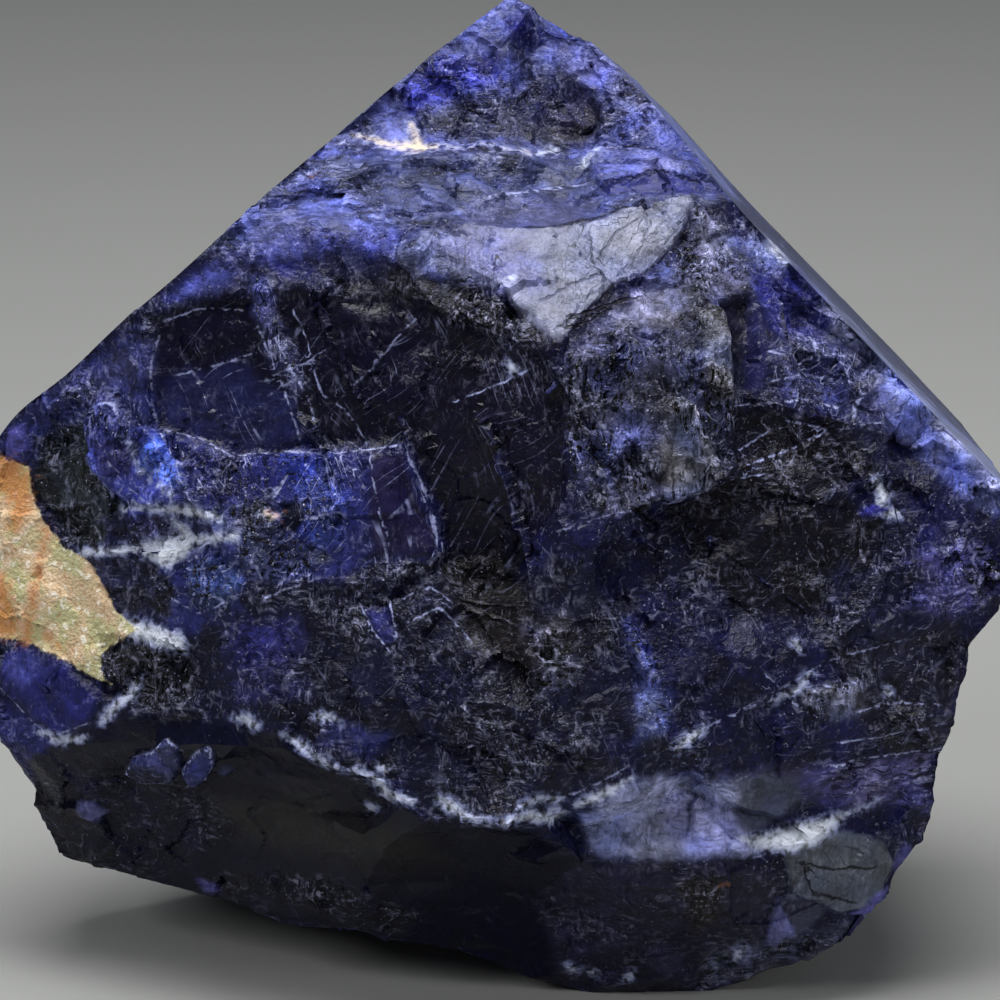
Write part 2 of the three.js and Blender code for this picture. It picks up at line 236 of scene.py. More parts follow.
def cut_triangles(points, triangles, cuts):
    """The triangles cut at the new corners of their edges, where -1 stands for a whole edge."""
    count = (cuts >= 0).sum(axis=1)
    # Each triangle is turned so that a lone cut edge comes first and a lone whole edge last.
    only_cut = np.argmax(cuts >= 0, axis=1)
    after_whole = (np.argmin(cuts >= 0, axis=1) + 1) % 3
    turn = (np.where(count == 1, only_cut, after_whole)[:, None] + np.arange(3)) % 3
    corners = np.take_along_axis(triangles, turn, axis=1)
    cuts = np.take_along_axis(cuts, turn, axis=1)

    parts = [triangles[count == 0]]
    (p, q, r), (m, _, _) = corners[count == 1].T, cuts[count == 1].T
    parts += [stacked(p, m, r), stacked(m, q, r)]
    (p, q, r), (m, n, _) = corners[count == 2].T, cuts[count == 2].T
    across = np.linalg.norm(points[p] - points[n], axis=1)
    shorter = across <= np.linalg.norm(points[m] - points[r], axis=1)
    parts += [stacked(m, q, n)]
    parts += [stacked(p, m, n)[shorter], stacked(p, n, r)[shorter]]
    parts += [stacked(p, m, r)[~shorter], stacked(m, n, r)[~shorter]]
    (p, q, r), (m, n, o) = corners[count == 3].T, cuts[count == 3].T
    parts += [stacked(p, m, o), stacked(m, q, n), stacked(o, n, r), stacked(m, n, o)]
    return np.vstack(parts)


def split_edges(points, triangles, creases, scale):
    """One round of halving every edge over its longest length, with nothing left hanging."""
    normals = corner_normals(points, triangles)
    codes, which = edges_of(triangles)
    a, b = codes // CODE, codes % CODE
    middles = (points[a] + points[b]) / 2
    length = np.linalg.norm(points[a] - points[b], axis=1)
    long = length > longest_edges(middles, (normals[a] + normals[b]) / 2) * scale
    new = np.full(len(codes), -1)
    new[long] = len(points) + np.arange(long.sum())
    points = np.vstack([points, middles[long]])
    was = np.isin(codes, creases)
    halves = [end[was & long] * CODE + new[was & long] for end in (a, b)]
    creases = np.concatenate([codes[was & ~long], *halves])
    return points, cut_triangles(points, triangles, new[which]), creases


def refined(points, triangles, scale):
    """The mesh split until hardly an edge is over its longest length, times a scale."""
    creases = creases_of(points, triangles)
    for _ in range(SPLIT_ROUNDS):
        points, triangles, creases = split_edges(points, triangles, creases, scale)
    return points, triangles, creases


def smoothed(points, triangles, held, rounds):
    """Each corner that isn't held drawn halfway to the middle of its neighbours, some times over."""
    codes, _ = edges_of(triangles)
    a, b = codes // CODE, codes % CODE
    ends, others = np.concatenate([a, b]), np.concatenate([b, a])
    count = np.bincount(ends, minlength=len(points))
    for _ in range(rounds):
        sums = [np.bincount(ends, points[others, axis], len(points)) for axis in range(3)]
        middle = np.column_stack(sums) / count[:, None]
        points = np.where(held[:, None], points, (points + middle) / 2)
    return points


# ---- Outlines and strokes on the photograph, in pixels


def to_segment(x, y, a, b):
    """Each pixel's nearest place on a segment, from 0 at a to 1 at b, and how far away that is."""
    along_x, along_y = b[0] - a[0], b[1] - a[1]
    t = np.clip(((x - a[0]) * along_x + (y - a[1]) * along_y) / (along_x**2 + along_y**2), 0, 1)
    return t, np.hypot(x - a[0] - t * along_x, y - a[1] - t * along_y)


def depth_inside(outline, x, y):
    """How far inside an outline each pixel lies, negative outside."""
    nearest = np.full(len(x), np.inf)
    inside = np.zeros(len(x), bool)
    for a, b in zip(outline, outline[1:] + outline[:1]):
        nearest = np.minimum(nearest, to_segment(x, y, a, b)[1])
        crosses = (a[1] > y) != (b[1] > y)
        # A level segment is never crossed, so its rise doesn't matter as long as it isn't 0.
        rise = b[1] - a[1] or 1
        inside ^= crosses & (x < (b[0] - a[0]) * (y - a[1]) / rise + a[0])
    return np.where(inside, nearest, -nearest)


def depth_in_stroke(line, x, y):
    """How far inside a line of (x, y, width) points each pixel lies, negative outside."""
    depth = np.full(len(x), -np.inf)
    for a, b in zip(line, line[1:]):
        t, away = to_segment(x, y, a, b)
        depth = np.maximum(depth, (a[2] + t * (b[2] - a[2])) / 2 - away)
    return depth


# ---- What the stone is made of on the photographed side, painted one by one

# How much the stone glints in flecks, how upright these lie, how scratched it is, or cracked where
# that is below 0, and how rough its gloss is. Tints are screen colours.
Texture = namedtuple("Texture", "fleck upright scratch rough")

BROKEN = Texture(0.38, 0.5, 0.15, 0.45)
CRUMBLY = Texture(0.6, 0.5, 0.05, 0.45)
BEDDED = Texture(0.5, 0.0, 0.1, 0.42)
CLEAVED = Texture(0.2, 0.9, -0.9, 0.35)
GLASSY = Texture(0.15, 0.7, 0.32, 0.35)
FIBROUS = Texture(1.0, 0.8, 0.2, 0.42)
SCRIBBLED = Texture(0.6, 0.6, 1.0, 0.4)
POLISHED = Texture(0.0, 0.0, 0.03, 0.25)
SPECKLED = Texture(0.8, 0.5, 0.1, 0.45)
MASSIVE = Texture(0.22, 0.5, 0.0, 0.45)
CLOUDED = Texture(0.3, 0.5, 0.1, 0.45)
SAWN_TEXTURE = Texture(0.14, 0.2, 0.4, 0.35)

NIGHT = (7, 6, 28)
NAVY = (17, 18, 52)
DEEP_BLUE = (24, 26, 92)
BLUE = (42, 52, 130)
VIOLET = (64, 70, 152)
LIGHT_VIOLET = (104, 112, 190)
BEDDING = (72, 78, 124)
BLACK = (6, 7, 29)
WHITE = (212, 218, 232)
BLUISH_WHITE = (138, 148, 196)
CREAM = (224, 206, 168)
SAND = (206, 180, 148)
OCHRE = (186, 120, 62)
OLIVE = (182, 178, 136)
SAWN = (124, 134, 146)

# A patch has an outline in pixels of the photograph and a tint. Its edge fades over some pixels and
# wanders by others. Its weight is how much it hides what comes before it in the list, and its lift
# is how far it stands out of the stone in millimetres, or sinks into it where that is below 0.
Patch = namedtuple("Patch", "name outline tint fade wander texture weight lift", defaults=(1, 0))

PATCHES = [
    # The crown and the shelf under it.
    Patch("crown", [(290, 165), (400, 60), (510, -30), (640, 50), (740, 200), (600, 165), (520, 152),
        (430, 152)], (76, 82, 142), 6, 5, CRUMBLY),
    Patch("crown light", [(450, 55), (475, 25), (510, -10), (530, 5), (520, 35), (490, 50), (470, 70)],
        LIGHT_VIOLET, 6, 6, CRUMBLY, lift=0.3),
    Patch("crown blue", [(400, 90), (440, 60), (500, 55), (505, 80), (450, 95), (410, 110)],
        (58, 62, 158), 6, 5, CRUMBLY),
    Patch("crown core", [(505, 20), (530, 15), (545, 40), (520, 50)], DEEP_BLUE, 5, 4, CRUMBLY),
    Patch("crown shade", [(420, 128), (450, 100), (520, 88), (545, 66), (600, 84), (612, 130), (560, 150),
        (480, 138)], (44, 46, 80), 8, 8, CRUMBLY),
    Patch("crown pit", [(545, 98), (580, 88), (600, 108), (592, 134), (560, 138), (540, 122)],
        (30, 28, 50), 6, 6, CRUMBLY, lift=-0.8),
    Patch("crown right", [(560, 50), (600, 48), (640, 80), (650, 110), (600, 90), (570, 70)],
        (84, 87, 146), 6, 5, CRUMBLY),
    Patch("shelf", [(180, 255), (300, 165), (350, 152), (440, 156), (560, 156), (690, 170), (725, 205),
        (590, 218), (480, 228), (300, 240)], BEDDING, 5, 4, BEDDED),
    Patch("shelf left", [(225, 230), (300, 175), (345, 190), (400, 215), (380, 238), (250, 245)],
        (90, 97, 160), 8, 6, BEDDED),
    Patch("shelf grey", [(380, 160), (600, 165), (600, 190), (480, 205), (400, 195)],
        (66, 72, 112), 8, 6, BEDDED),
    Patch("shelf dark", [(460, 214), (500, 200), (560, 192), (600, 196), (596, 216), (540, 226), (480, 226)],
        (66, 69, 108), 3, 4, MASSIVE, lift=-0.5),
    Patch("shelf crust", [(585, 160), (640, 155), (690, 165), (700, 180), (650, 176), (600, 182)],
        (92, 96, 154), 4, 5, CRUMBLY, lift=0.4),
    Patch("shelf band", [(604, 184), (650, 174), (704, 180), (700, 192), (640, 192), (606, 194)],
        (50, 53, 112), 3, 3, MASSIVE, lift=-0.4),

    # Under the shelf.
    Patch("brow", [(130, 330), (230, 250), (300, 228), (420, 226), (490, 235), (510, 290), (460, 308),
        (380, 292), (300, 272), (220, 290)], (62, 66, 128), 10, 8, CRUMBLY),
    Patch("brow shade", [(240, 262), (340, 250), (430, 262), (400, 290), (300, 280), (235, 300)],
        (34, 34, 62), 12, 10, BROKEN, lift=-0.6),
    Patch("brow left blue", [(270, 262), (300, 255), (320, 275), (280, 285)], DEEP_BLUE, 6, 6, BROKEN),
    Patch("brow pale", [(395, 240), (440, 228), (500, 262), (500, 288), (450, 275), (400, 262)],
        (112, 116, 150), 8, 6, CRUMBLY),
    # Painted shadow: this band under the cleavage and the brow is darkened for the shade there, over dark
    # crumbly stone.
    Patch("shaded broken brow", [(335, 275), (400, 270), (470, 285), (510, 300), (565, 350), (520, 345), (440, 315),
        (350, 300)], (34, 33, 46), 7, 7, SPECKLED, lift=-0.4),
    Patch("right of cleavage", [(590, 330), (640, 285), (690, 240), (740, 240), (790, 290), (760, 320),
        (690, 330), (640, 350), (570, 360)], (74, 75, 108), 7, 8, SPECKLED),
    # The cleavage faces up: its pale lilac-grey, palest in the cleavage pale patch, is partly the stone's
    # own and partly painted sheen.
    Patch("cleavage", [(432, 245), (470, 224), (530, 231), (590, 223), (640, 211), (692, 197), (680, 238),
        (652, 268), (612, 285), (588, 308), (560, 343), (534, 326), (506, 292), (470, 272)],
        (124, 127, 152), 2, 1.5, CLEAVED, lift=0.3),
    Patch("cleavage lilac", [(432, 245), (470, 226), (520, 232), (545, 290), (506, 292), (470, 272)],
        (98, 100, 144), 14, 6, CLEAVED, 1),
    Patch("cleavage pale", [(580, 232), (640, 216), (688, 202), (676, 232), (640, 262), (590, 270)],
        (138, 141, 162), 12, 5, CLEAVED, 0.8),
    Patch("above rim", [(690, 205), (740, 235), (720, 262), (690, 240)], (120, 122, 156), 5, 5, SPECKLED),

    # The right half.
    Patch("rim blue", [(740, 240), (790, 262), (1010, 480), (1010, 520), (960, 500), (860, 400), (760, 300)],
        (78, 85, 142), 8, 8, Texture(0.55, 0.6, 0.1, 0.45)),
    Patch("rim bright", [(752, 226), (800, 272), (870, 342), (930, 405), (1010, 482), (990, 486), (905, 404),
        (850, 352), (790, 292), (750, 250)], (132, 138, 188), 5, 5, Texture(0.65, 0.6, 0.1, 0.42)),
    Patch("rim deep", [(756, 272), (800, 268), (836, 320), (820, 352), (770, 330)],
        (38, 40, 112), 8, 6, BROKEN, lift=-0.6),
    Patch("blue spot", [(856, 510), (872, 504), (888, 508), (884, 516), (862, 517)],
        (58, 56, 150), 2, 2, MASSIVE),
    Patch("scribbles", [(765, 345), (800, 330), (870, 350), (890, 420), (850, 440), (790, 410)],
        (48, 50, 88), 8, 6, SCRIBBLED),
    Patch("column", [(568, 350), (640, 345), (700, 300), (740, 320), (735, 470), (670, 505), (600, 520),
        (565, 450)], (60, 61, 88), 8, 8, FIBROUS, lift=0.6),
    Patch("column pale", [(666, 402), (687, 402), (727, 476), (669, 503), (655, 460)],
        (128, 127, 140), 5, 4, FIBROUS, lift=0.5),
    Patch("column top", [(648, 282), (690, 258), (716, 292), (664, 330), (616, 332)],
        (104, 104, 132), 7, 7, SPECKLED),
    Patch("grey face", [(690, 320), (712, 312), (736, 360), (738, 400), (712, 404), (700, 370)],
        (82, 82, 92), 4, 4, FIBROUS, lift=0.5),
    Patch("slot", [(722, 300), (754, 294), (756, 386), (736, 392), (728, 350)],
        (17, 17, 36), 4, 4, GLASSY, lift=-1.2),
    Patch("slot edge", [(754, 290), (768, 300), (764, 390), (752, 392)], (34, 34, 78), 4, 4, GLASSY),
    Patch("dark shelf", [(735, 405), (850, 420), (870, 470), (700, 560), (660, 510), (730, 478)],
        (11, 10, 26), 8, 8, BROKEN, lift=-0.5),
    Patch("right deep", [(680, 520), (800, 480), (880, 520), (870, 600), (760, 620), (700, 580)],
        (9, 8, 24), 12, 10, BROKEN),
    Patch("right blue", [(830, 570), (880, 560), (900, 620), (870, 650), (830, 620)],
        (28, 30, 66), 14, 10, BROKEN),
    Patch("right lilac", [(900, 560), (990, 540), (1000, 590), (950, 620), (900, 610)],
        (54, 52, 98), 10, 8, SPECKLED, lift=0.4),
    Patch("right slate", [(840, 650), (960, 620), (955, 740), (900, 760), (840, 700)],
        (24, 24, 40), 10, 8, BROKEN),
    Patch("violet streaks", [(760, 768), (860, 770), (935, 750), (930, 810), (850, 810), (780, 790)],
        (74, 70, 112), 8, 8, BEDDED),
    Patch("smoke cloud", [(790, 690), (860, 680), (870, 710), (830, 722)], (96, 98, 118), 6, 6, FIBROUS),
    Patch("blue streak", [(600, 590), (650, 640), (668, 700), (664, 740), (632, 742), (636, 700),
        (618, 650)], (62, 68, 118), 8, 8, SPECKLED, lift=0.3),
    Patch("blue streak foot", [(636, 690), (662, 690), (668, 736), (634, 742)],
        (84, 94, 150), 6, 6, SPECKLED),

    # The window, the step and the middle.
    Patch("window", [(150, 318), (196, 300), (250, 296), (330, 290), (430, 308), (540, 350), (566, 400),
        (566, 480), (520, 570), (450, 560), (405, 440), (330, 450), (230, 454), (160, 428)],
        NIGHT, 6, 6, GLASSY, lift=-0.8),
    Patch("window streak", [(242, 276), (266, 278), (274, 316), (290, 354), (306, 390), (292, 392),
        (268, 356), (252, 322)], (58, 61, 106), 8, 8, Texture(0.7, 0.85, 1.0, 0.35), lift=0.2),
    Patch("window blue", [(160, 380), (230, 360), (280, 390), (320, 440), (230, 452), (165, 426)],
        (28, 30, 70), 10, 8, Texture(0.1, 0.5, 0.5, 0.3)),
    Patch("bay", [(410, 330), (500, 345), (560, 390), (560, 500), (500, 560), (450, 540), (420, 440)],
        (15, 13, 32), 12, 8, Texture(0.2, 1.0, 0.25, 0.3), lift=-0.4),
    Patch("blue step", [(160, 430), (200, 441), (231, 455), (286, 453), (332, 455), (391, 447), (404, 444),
        (420, 480), (436, 512), (444, 560), (400, 590), (320, 590), (230, 560), (190, 500)],
        (32, 35, 88), 5, 5, Texture(0.3, 0.6, 0.9, 0.35), lift=0.5),
    Patch("step bright", [(284, 454), (334, 456), (352, 500), (340, 540), (312, 560), (296, 520)],
        (46, 58, 134), 10, 8, Texture(0.6, 0.6, 1.0, 0.35)),
    Patch("crumbs", [(216, 512), (262, 500), (286, 532), (330, 560), (290, 592), (226, 578)],
        (46, 50, 84), 8, 8, SPECKLED),
    Patch("step violet", [(371, 456), (404, 452), (432, 540), (428, 560), (372, 556)],
        (28, 24, 58), 5, 4, Texture(0.1, 0.7, 0.6, 0.35), lift=0.3),
    Patch("step left", [(165, 440), (230, 462), (280, 462), (270, 500), (210, 500)],
        (26, 28, 74), 6, 6, SCRIBBLED),
    Patch("middle", [(180, 590), (300, 585), (440, 560), (520, 570), (600, 560), (640, 700), (560, 815),
        (440, 815), (330, 750), (240, 700), (180, 690)], (14, 15, 38), 12, 10, BROKEN),
    Patch("middle umber", [(440, 560), (500, 555), (540, 620), (530, 690), (470, 640)],
        (16, 13, 18), 12, 8, BROKEN, lift=-0.5),
    Patch("middle grey", [(520, 620), (570, 610), (575, 680), (540, 700)], (78, 76, 90), 14, 10, SPECKLED),
    Patch("middle blue", [(220, 620), (300, 620), (310, 700), (240, 700)], (34, 34, 84), 10, 8, BROKEN),
    Patch("lower blue", [(330, 715), (390, 735), (370, 760), (320, 745)], (46, 50, 110), 8, 6, BROKEN),
    Patch("chevron", [(362, 608), (392, 608), (396, 636), (388, 646), (374, 628)],
        (38, 40, 102), 3, 2, MASSIVE, lift=0.3),

    # The left flank.
    Patch("flank", [(-10, 440), (60, 380), (140, 325), (158, 430), (190, 500), (240, 545), (242, 610),
        (180, 640), (100, 560), (40, 480)], (36, 40, 92), 6, 6, BROKEN),
    Patch("flank top", [(60, 400), (100, 360), (150, 325), (150, 400), (110, 400)],
        (58, 60, 108), 8, 8, SPECKLED),
    Patch("flank black", [(36, 440), (80, 420), (100, 470), (130, 500), (100, 550), (60, 535), (36, 500)],
        (36, 41, 48), 6, 6, SPECKLED, lift=-0.4),
    Patch("violet tab", [(4, 462), (10, 430), (24, 424), (30, 446), (20, 462)],
        (76, 74, 150), 3, 2, MASSIVE, lift=0.4),
    Patch("triangle", [(80, 422), (102, 402), (118, 404), (128, 426), (156, 428), (178, 466), (198, 502),
        (150, 508), (120, 500), (92, 472)], (60, 66, 138), 3, 3, SCRIBBLED, lift=0.5),
    Patch("triangle bright", [(140, 440), (160, 430), (190, 490), (170, 486), (150, 470)],
        (66, 88, 176), 6, 4, SCRIBBLED),
    Patch("triangle shade", [(92, 440), (130, 440), (140, 480), (104, 476)], (40, 40, 100), 6, 5, BROKEN),
    Patch("between veins", [(100, 520), (170, 514), (196, 540), (120, 546)], (44, 44, 78), 4, 4, SPECKLED),
    Patch("knot blue", [(190, 572), (214, 558), (238, 564), (240, 592), (222, 608), (198, 602)],
        (52, 68, 122), 7, 8, SPECKLED, lift=0.3),
    Patch("under vein", [(84, 560), (150, 558), (172, 590), (168, 616), (120, 612), (96, 588)],
        (40, 40, 66), 4, 4, SPECKLED, lift=-0.4),
    Patch("speckled", [(98, 636), (150, 640), (184, 660), (200, 700), (150, 712), (110, 690), (96, 660)],
        (44, 44, 58), 5, 5, SPECKLED, lift=-0.4),
    Patch("deep plate", [(4, 655), (30, 644), (62, 660), (98, 700), (92, 720), (60, 736), (30, 716),
        (4, 690)], (32, 33, 88), 3, 3, MASSIVE, lift=0.5),
    Patch("deep plate light", [(6, 660), (36, 648), (48, 668), (20, 690)], (62, 66, 140), 6, 4, MASSIVE),
    Patch("left foot", [(0, 690), (30, 715), (60, 745), (40, 800), (0, 760)], (36, 38, 84), 6, 5, MASSIVE),

    # Two small holes.
    Patch("knot hole", [(282, 504), (300, 500), (306, 520), (296, 532), (280, 528)],
        BLACK, 2, 2, GLASSY, lift=-0.6),
    Patch("hole", [(98, 682), (112, 678), (120, 690), (112, 702), (98, 696)],
        BLACK, 2, 2, GLASSY, lift=-0.8),

    # The hollow underside and the foot of the stone. The hollow's black is partly the stone's own and partly
    # painted shade, for the underside faces down, and the hollow sheen is a painted reflection.
    Patch("hollow", [(30, 760), (60, 742), (110, 722), (150, 712), (250, 726), (290, 740), (330, 768),
        (440, 826), (520, 828), (560, 850), (620, 868), (700, 870), (740, 890), (700, 1010), (540, 1000),
        (400, 940), (40, 880)], BLACK, 4, 4, POLISHED),
    Patch("hollow sheen", [(180, 800), (300, 790), (420, 830), (460, 870), (380, 870), (240, 840)],
        (30, 30, 33), 16, 8, POLISHED),
    Patch("left fragment", [(124, 774), (134, 757), (152, 752), (166, 739), (178, 748), (182, 764),
        (172, 778), (142, 783)], (64, 68, 120), 1.5, 1, CLOUDED, lift=0.5),
    Patch("right fragment", [(184, 767), (196, 752), (211, 745), (214, 762), (206, 778), (193, 784),
        (186, 779)], (58, 62, 118), 1.5, 1, CLOUDED, lift=0.5),
    Patch("chip", [(216, 769), (225, 764), (235, 768), (226, 775)],
        (66, 70, 104), 1.5, 1, MASSIVE, lift=0.3),
    Patch("left specks", [(40, 770), (110, 752), (200, 790), (230, 830), (160, 868), (80, 880), (40, 850)],
        (8, 9, 30), 14, 8, Texture(0.5, 0.5, 0.0, 0.4), 0.8),
    Patch("small fragment", [(78, 802), (92, 800), (110, 810), (98, 818), (82, 812)],
        (84, 86, 130), 1.5, 1, MASSIVE, lift=0.4),
    Patch("lip", [(195, 880), (260, 872), (330, 880), (420, 915), (400, 935), (300, 905), (220, 895)],
        (16, 16, 30), 8, 8, BROKEN),
    Patch("lip violet", [(196, 880), (216, 882), (222, 894), (204, 892)], (66, 64, 120), 3, 2, MASSIVE),
    Patch("ledge", [(582, 812), (606, 796), (650, 772), (740, 778), (760, 800), (748, 834), (752, 856),
        (690, 862), (600, 860), (580, 840)], (144, 149, 186), 6, 8, CLOUDED, lift=0.3),
    Patch("ledge lilac", [(664, 790), (716, 796), (748, 830), (740, 852), (690, 856), (668, 830)],
        (150, 152, 202), 9, 8, CLOUDED, lift=0.3),
    Patch("ledge grey", [(736, 772), (796, 776), (800, 800), (760, 832), (738, 826)],
        (72, 76, 96), 5, 5, MASSIVE),
    Patch("foot", [(580, 862), (750, 862), (780, 880), (760, 950), (700, 1010), (560, 1000), (540, 900)],
        (31, 30, 52), 8, 8, MASSIVE),
    Patch("foot brown", [(680, 880), (720, 880), (720, 920), (690, 930)], (30, 26, 26), 8, 8, BROKEN),
    Patch("grey facets", [(784, 850), (820, 826), (880, 838), (892, 862), (876, 900), (840, 912),
        (790, 890)], (84, 89, 100), 2, 2, CLEAVED, lift=0.3),
    Patch("foot slate", [(790, 890), (830, 905), (800, 940), (770, 935)], (64, 66, 88), 3, 3, CLEAVED),
    Patch("foot triangle", [(778, 900), (764, 942), (802, 944)], (92, 94, 146), 1.5, 1, MASSIVE, lift=0.4),
    Patch("violet rim", [(850, 914), (870, 896), (888, 886), (884, 902), (866, 916)],
        (76, 74, 136), 2, 3, MASSIVE, lift=0.3),
    Patch("violet rim top", [(890, 866), (906, 842), (914, 850), (902, 876)], (70, 70, 130), 2, 3, MASSIVE),
    Patch("foot band", [(700, 950), (800, 935), (880, 915), (860, 945), (760, 985), (700, 990)],
        (68, 70, 92), 5, 5, BEDDED),
]

# Veins, and among the white ones a few painted highlights, as strokes of (x, y, width) points.
# A width below 0 leaves only a trace.
CREAM_VEINS = [
    # The crown's left.
    [(352, 136, 4), (372, 139, 8), (400, 145, 10), (414, 146, 14), (428, 148, 8), (438, 149, 4)],
    [(410, 120, 5), (415, 134, 9), (420, 146, 12)],
    [(432, 148, 0), (470, 147, -1), (500, 149, -1), (530, 154, 0)],

    # The knot in the step.
    [(264, 512, 5), (273, 518, 8)],
]
WHITE_VEINS_AND_HIGHLIGHTS = [
    # The crown's right.
    [(538, 152, 3), (548, 149, 7), (558, 147, 3)],
    [(582, 164, 6), (590, 157, 8), (597, 151, 5)],

    # The left flank.
    [(118, 508, 4), (160, 508, 7), (190, 512, 11), (214, 516, 9), (224, 520, 4)],
    [(84, 553, 8), (120, 550, 9), (150, 547, 14), (176, 543, 15), (205, 540, 10), (236, 536, 8)],
    [(148, 551, 14), (166, 555, 26), (182, 548, 18)],
    [(172, 522, 5), (180, 532, 12), (184, 542, 12)],
    [(128, 440, 1), (148, 472, 3), (178, 500, 2)],

    # Specks at the right and at the foot.
    [(796, 642, 6), (800, 648, 6)],
    [(770, 702, 2), (796, 690, 5), (812, 672, 3)],
    [(886, 690, 4), (890, 694, 5)],
    [(568, 968, 4), (574, 971, 5)],
    [(590, 973, 4), (595, 975, 4)],
    [(626, 977, 4), (631, 974, 4)],

    # The left flank again, lower down.
    [(110, 620, 10), (135, 630, 18), (160, 637, 21), (178, 642, 18), (179, 652, 10)],
    [(40, 732, 4), (60, 740, 8), (84, 738, 5)],
    [(102, 722, 4), (114, 708, 9), (128, 696, 7), (132, 680, 4)],

    # The broken row over the hollow.
    [(236, 717, 4), (246, 720, 11), (256, 725, 7)],
    [(318, 716, 5), (329, 717, 9), (338, 722, 4)],
    [(286, 736, 4), (304, 748, 7), (318, 758, 5), (338, 768, 3)],
    [(350, 768, 3), (372, 778, 6), (392, 796, 8), (412, 802, 6)],
    [(380, 766, 6), (385, 770, 6)],
    [(370, 806, 5), (374, 808, 5)],
    [(438, 798, 5), (450, 806, 12), (466, 816, 6), (490, 822, 2)],
    [(504, 822, 3), (530, 818, 11), (552, 818, 10), (566, 812, 3)],
    [(576, 806, 4), (592, 798, 9), (608, 790, 9), (630, 776, 4)],
    [(520, 806, 4), (540, 800, 5), (560, 800, 4)],

    # The ledge and the foot.
    [(676, 748, 4), (690, 738, 8), (704, 728, 4)],
    [(736, 842, 8), (764, 842, 17), (790, 838, 25), (808, 834, 25), (826, 824, 14), (846, 814, 4),
        (880, 800, -1)],
    [(716, 966, 3), (728, 958, 4), (744, 946, 3)],

    # The right edge, painted highlights on the sawn edge and on the cleavage, and a speck under the
    # cleavage.
    [(872, 483, 5), (881, 486, 11), (885, 494, 12), (881, 503, 8)],
    [(886, 513, 6), (896, 513, 10)],
    [(767, 241, 5), (776, 251, 12), (786, 262, 5)],
    [(500, 284, 3), (508, 286, 7), (516, 280, 3)],
    [(506, 362, 5), (510, 368, 8)],
]

# Fine lines, as points and a strength: light edges and scratches, and dark cracks.
LIGHT_LINES = [
    # The crown.
    ([(434, 148), (470, 146), (500, 149), (530, 154)], 1.0),
    ([(332, 146), (350, 138), (372, 134)], 0.8),

    # The window.
    ([(165, 318), (196, 307), (247, 309)], 0.5),
    ([(157, 330), (150, 360), (152, 400), (160, 428)], 0.5),
    ([(293, 311), (313, 369), (324, 396), (344, 412), (365, 443)], 0.7),
    ([(412, 318), (379, 353), (352, 388), (334, 402)], 0.5),
    ([(177, 373), (210, 365), (247, 353)], 0.5),
    ([(270, 392), (290, 378), (313, 365)], 0.5),
    ([(258, 330), (276, 376), (296, 440)], 0.8),
    ([(276, 340), (300, 392), (328, 440)], 0.8),
    ([(268, 376), (296, 364), (322, 350)], 0.5),

    # The right side.
    ([(770, 350), (800, 362), (846, 356)], 0.9),
    ([(775, 380), (815, 372), (862, 392)], 0.9),
    ([(790, 420), (840, 430), (890, 420)], 0.7),
    ([(764, 706), (785, 688), (802, 676)], 1.0),
    ([(770, 678), (790, 700), (812, 714)], 1.0),
    ([(792, 690), (820, 684), (850, 692)], 0.9),
    ([(850, 714), (890, 702), (934, 704)], 0.8),
    ([(840, 742), (885, 735), (940, 724)], 0.8),
    ([(830, 766), (880, 757), (945, 748)], 0.9),
    ([(850, 790), (900, 779), (932, 770)], 0.8),

    # The step and the bay.
    ([(160, 428), (200, 439), (231, 455), (286, 452), (332, 454), (391, 446), (404, 444)], 0.9),
    ([(404, 443), (418, 478), (433, 509), (441, 556)], 0.8),
    ([(372, 456), (380, 500), (388, 540)], 0.8),
    ([(450, 400), (480, 388), (520, 370)], 0.9),
    ([(300, 520), (340, 512), (362, 522)], 0.7),

    # Under the column and beside it, and the shelf.
    ([(669, 502), (700, 488), (729, 480), (762, 474)], 0.9),
    ([(729, 453), (750, 444), (768, 432)], 0.7),
    ([(740, 468), (762, 458), (800, 445), (830, 430)], 0.8),
    ([(741, 405), (770, 402), (800, 400), (840, 406)], 0.9),
    ([(560, 530), (640, 505), (710, 478)], 0.4),
    ([(480, 200), (510, 194), (540, 189), (580, 184)], 1.0),

    # The left flank.
    ([(196, 502), (180, 470), (160, 432), (148, 400)], 0.9),
    ([(84, 424), (102, 404), (116, 402), (126, 424)], 0.9),
    ([(104, 446), (124, 478), (152, 504)], 0.8),
    ([(150, 434), (172, 470), (196, 498)], 0.9),
    ([(112, 500), (130, 480), (160, 470)], 0.6),
    ([(170, 560), (200, 570), (236, 562)], 0.7),
    ([(204, 608), (214, 580), (238, 560)], 0.6),
    ([(92, 472), (120, 500), (150, 508)], 0.6),
    ([(240, 545), (236, 600), (200, 614), (172, 600)], 0.6),
    ([(4, 690), (30, 718), (52, 738), (90, 722)], 0.7),

    # The middle and the ledge.
    ([(560, 800), (600, 780), (650, 752), (720, 720), (800, 690)], 0.7),
    ([(362, 608), (374, 632), (388, 648)], 1.0),
    ([(392, 606), (397, 634)], 0.9),
    ([(262, 600), (250, 592), (232, 600), (222, 614), (226, 632)], 0.6),
    ([(263, 598), (285, 590), (316, 580)], 0.9),
    ([(404, 596), (430, 586), (452, 602)], 0.7),
    ([(412, 620), (440, 606), (470, 640)], 0.7),
    ([(700, 730), (760, 700), (830, 660), (900, 640)], 0.5),
    ([(752, 856), (790, 850), (830, 824), (880, 800)], 0.5),

    # The fragments in the hollow.
    ([(172, 778), (142, 783), (125, 774), (134, 757), (152, 752), (166, 739), (178, 748)], 1.0),
    ([(184, 767), (196, 752), (211, 745), (214, 762), (206, 778), (193, 784)], 1.0),
]
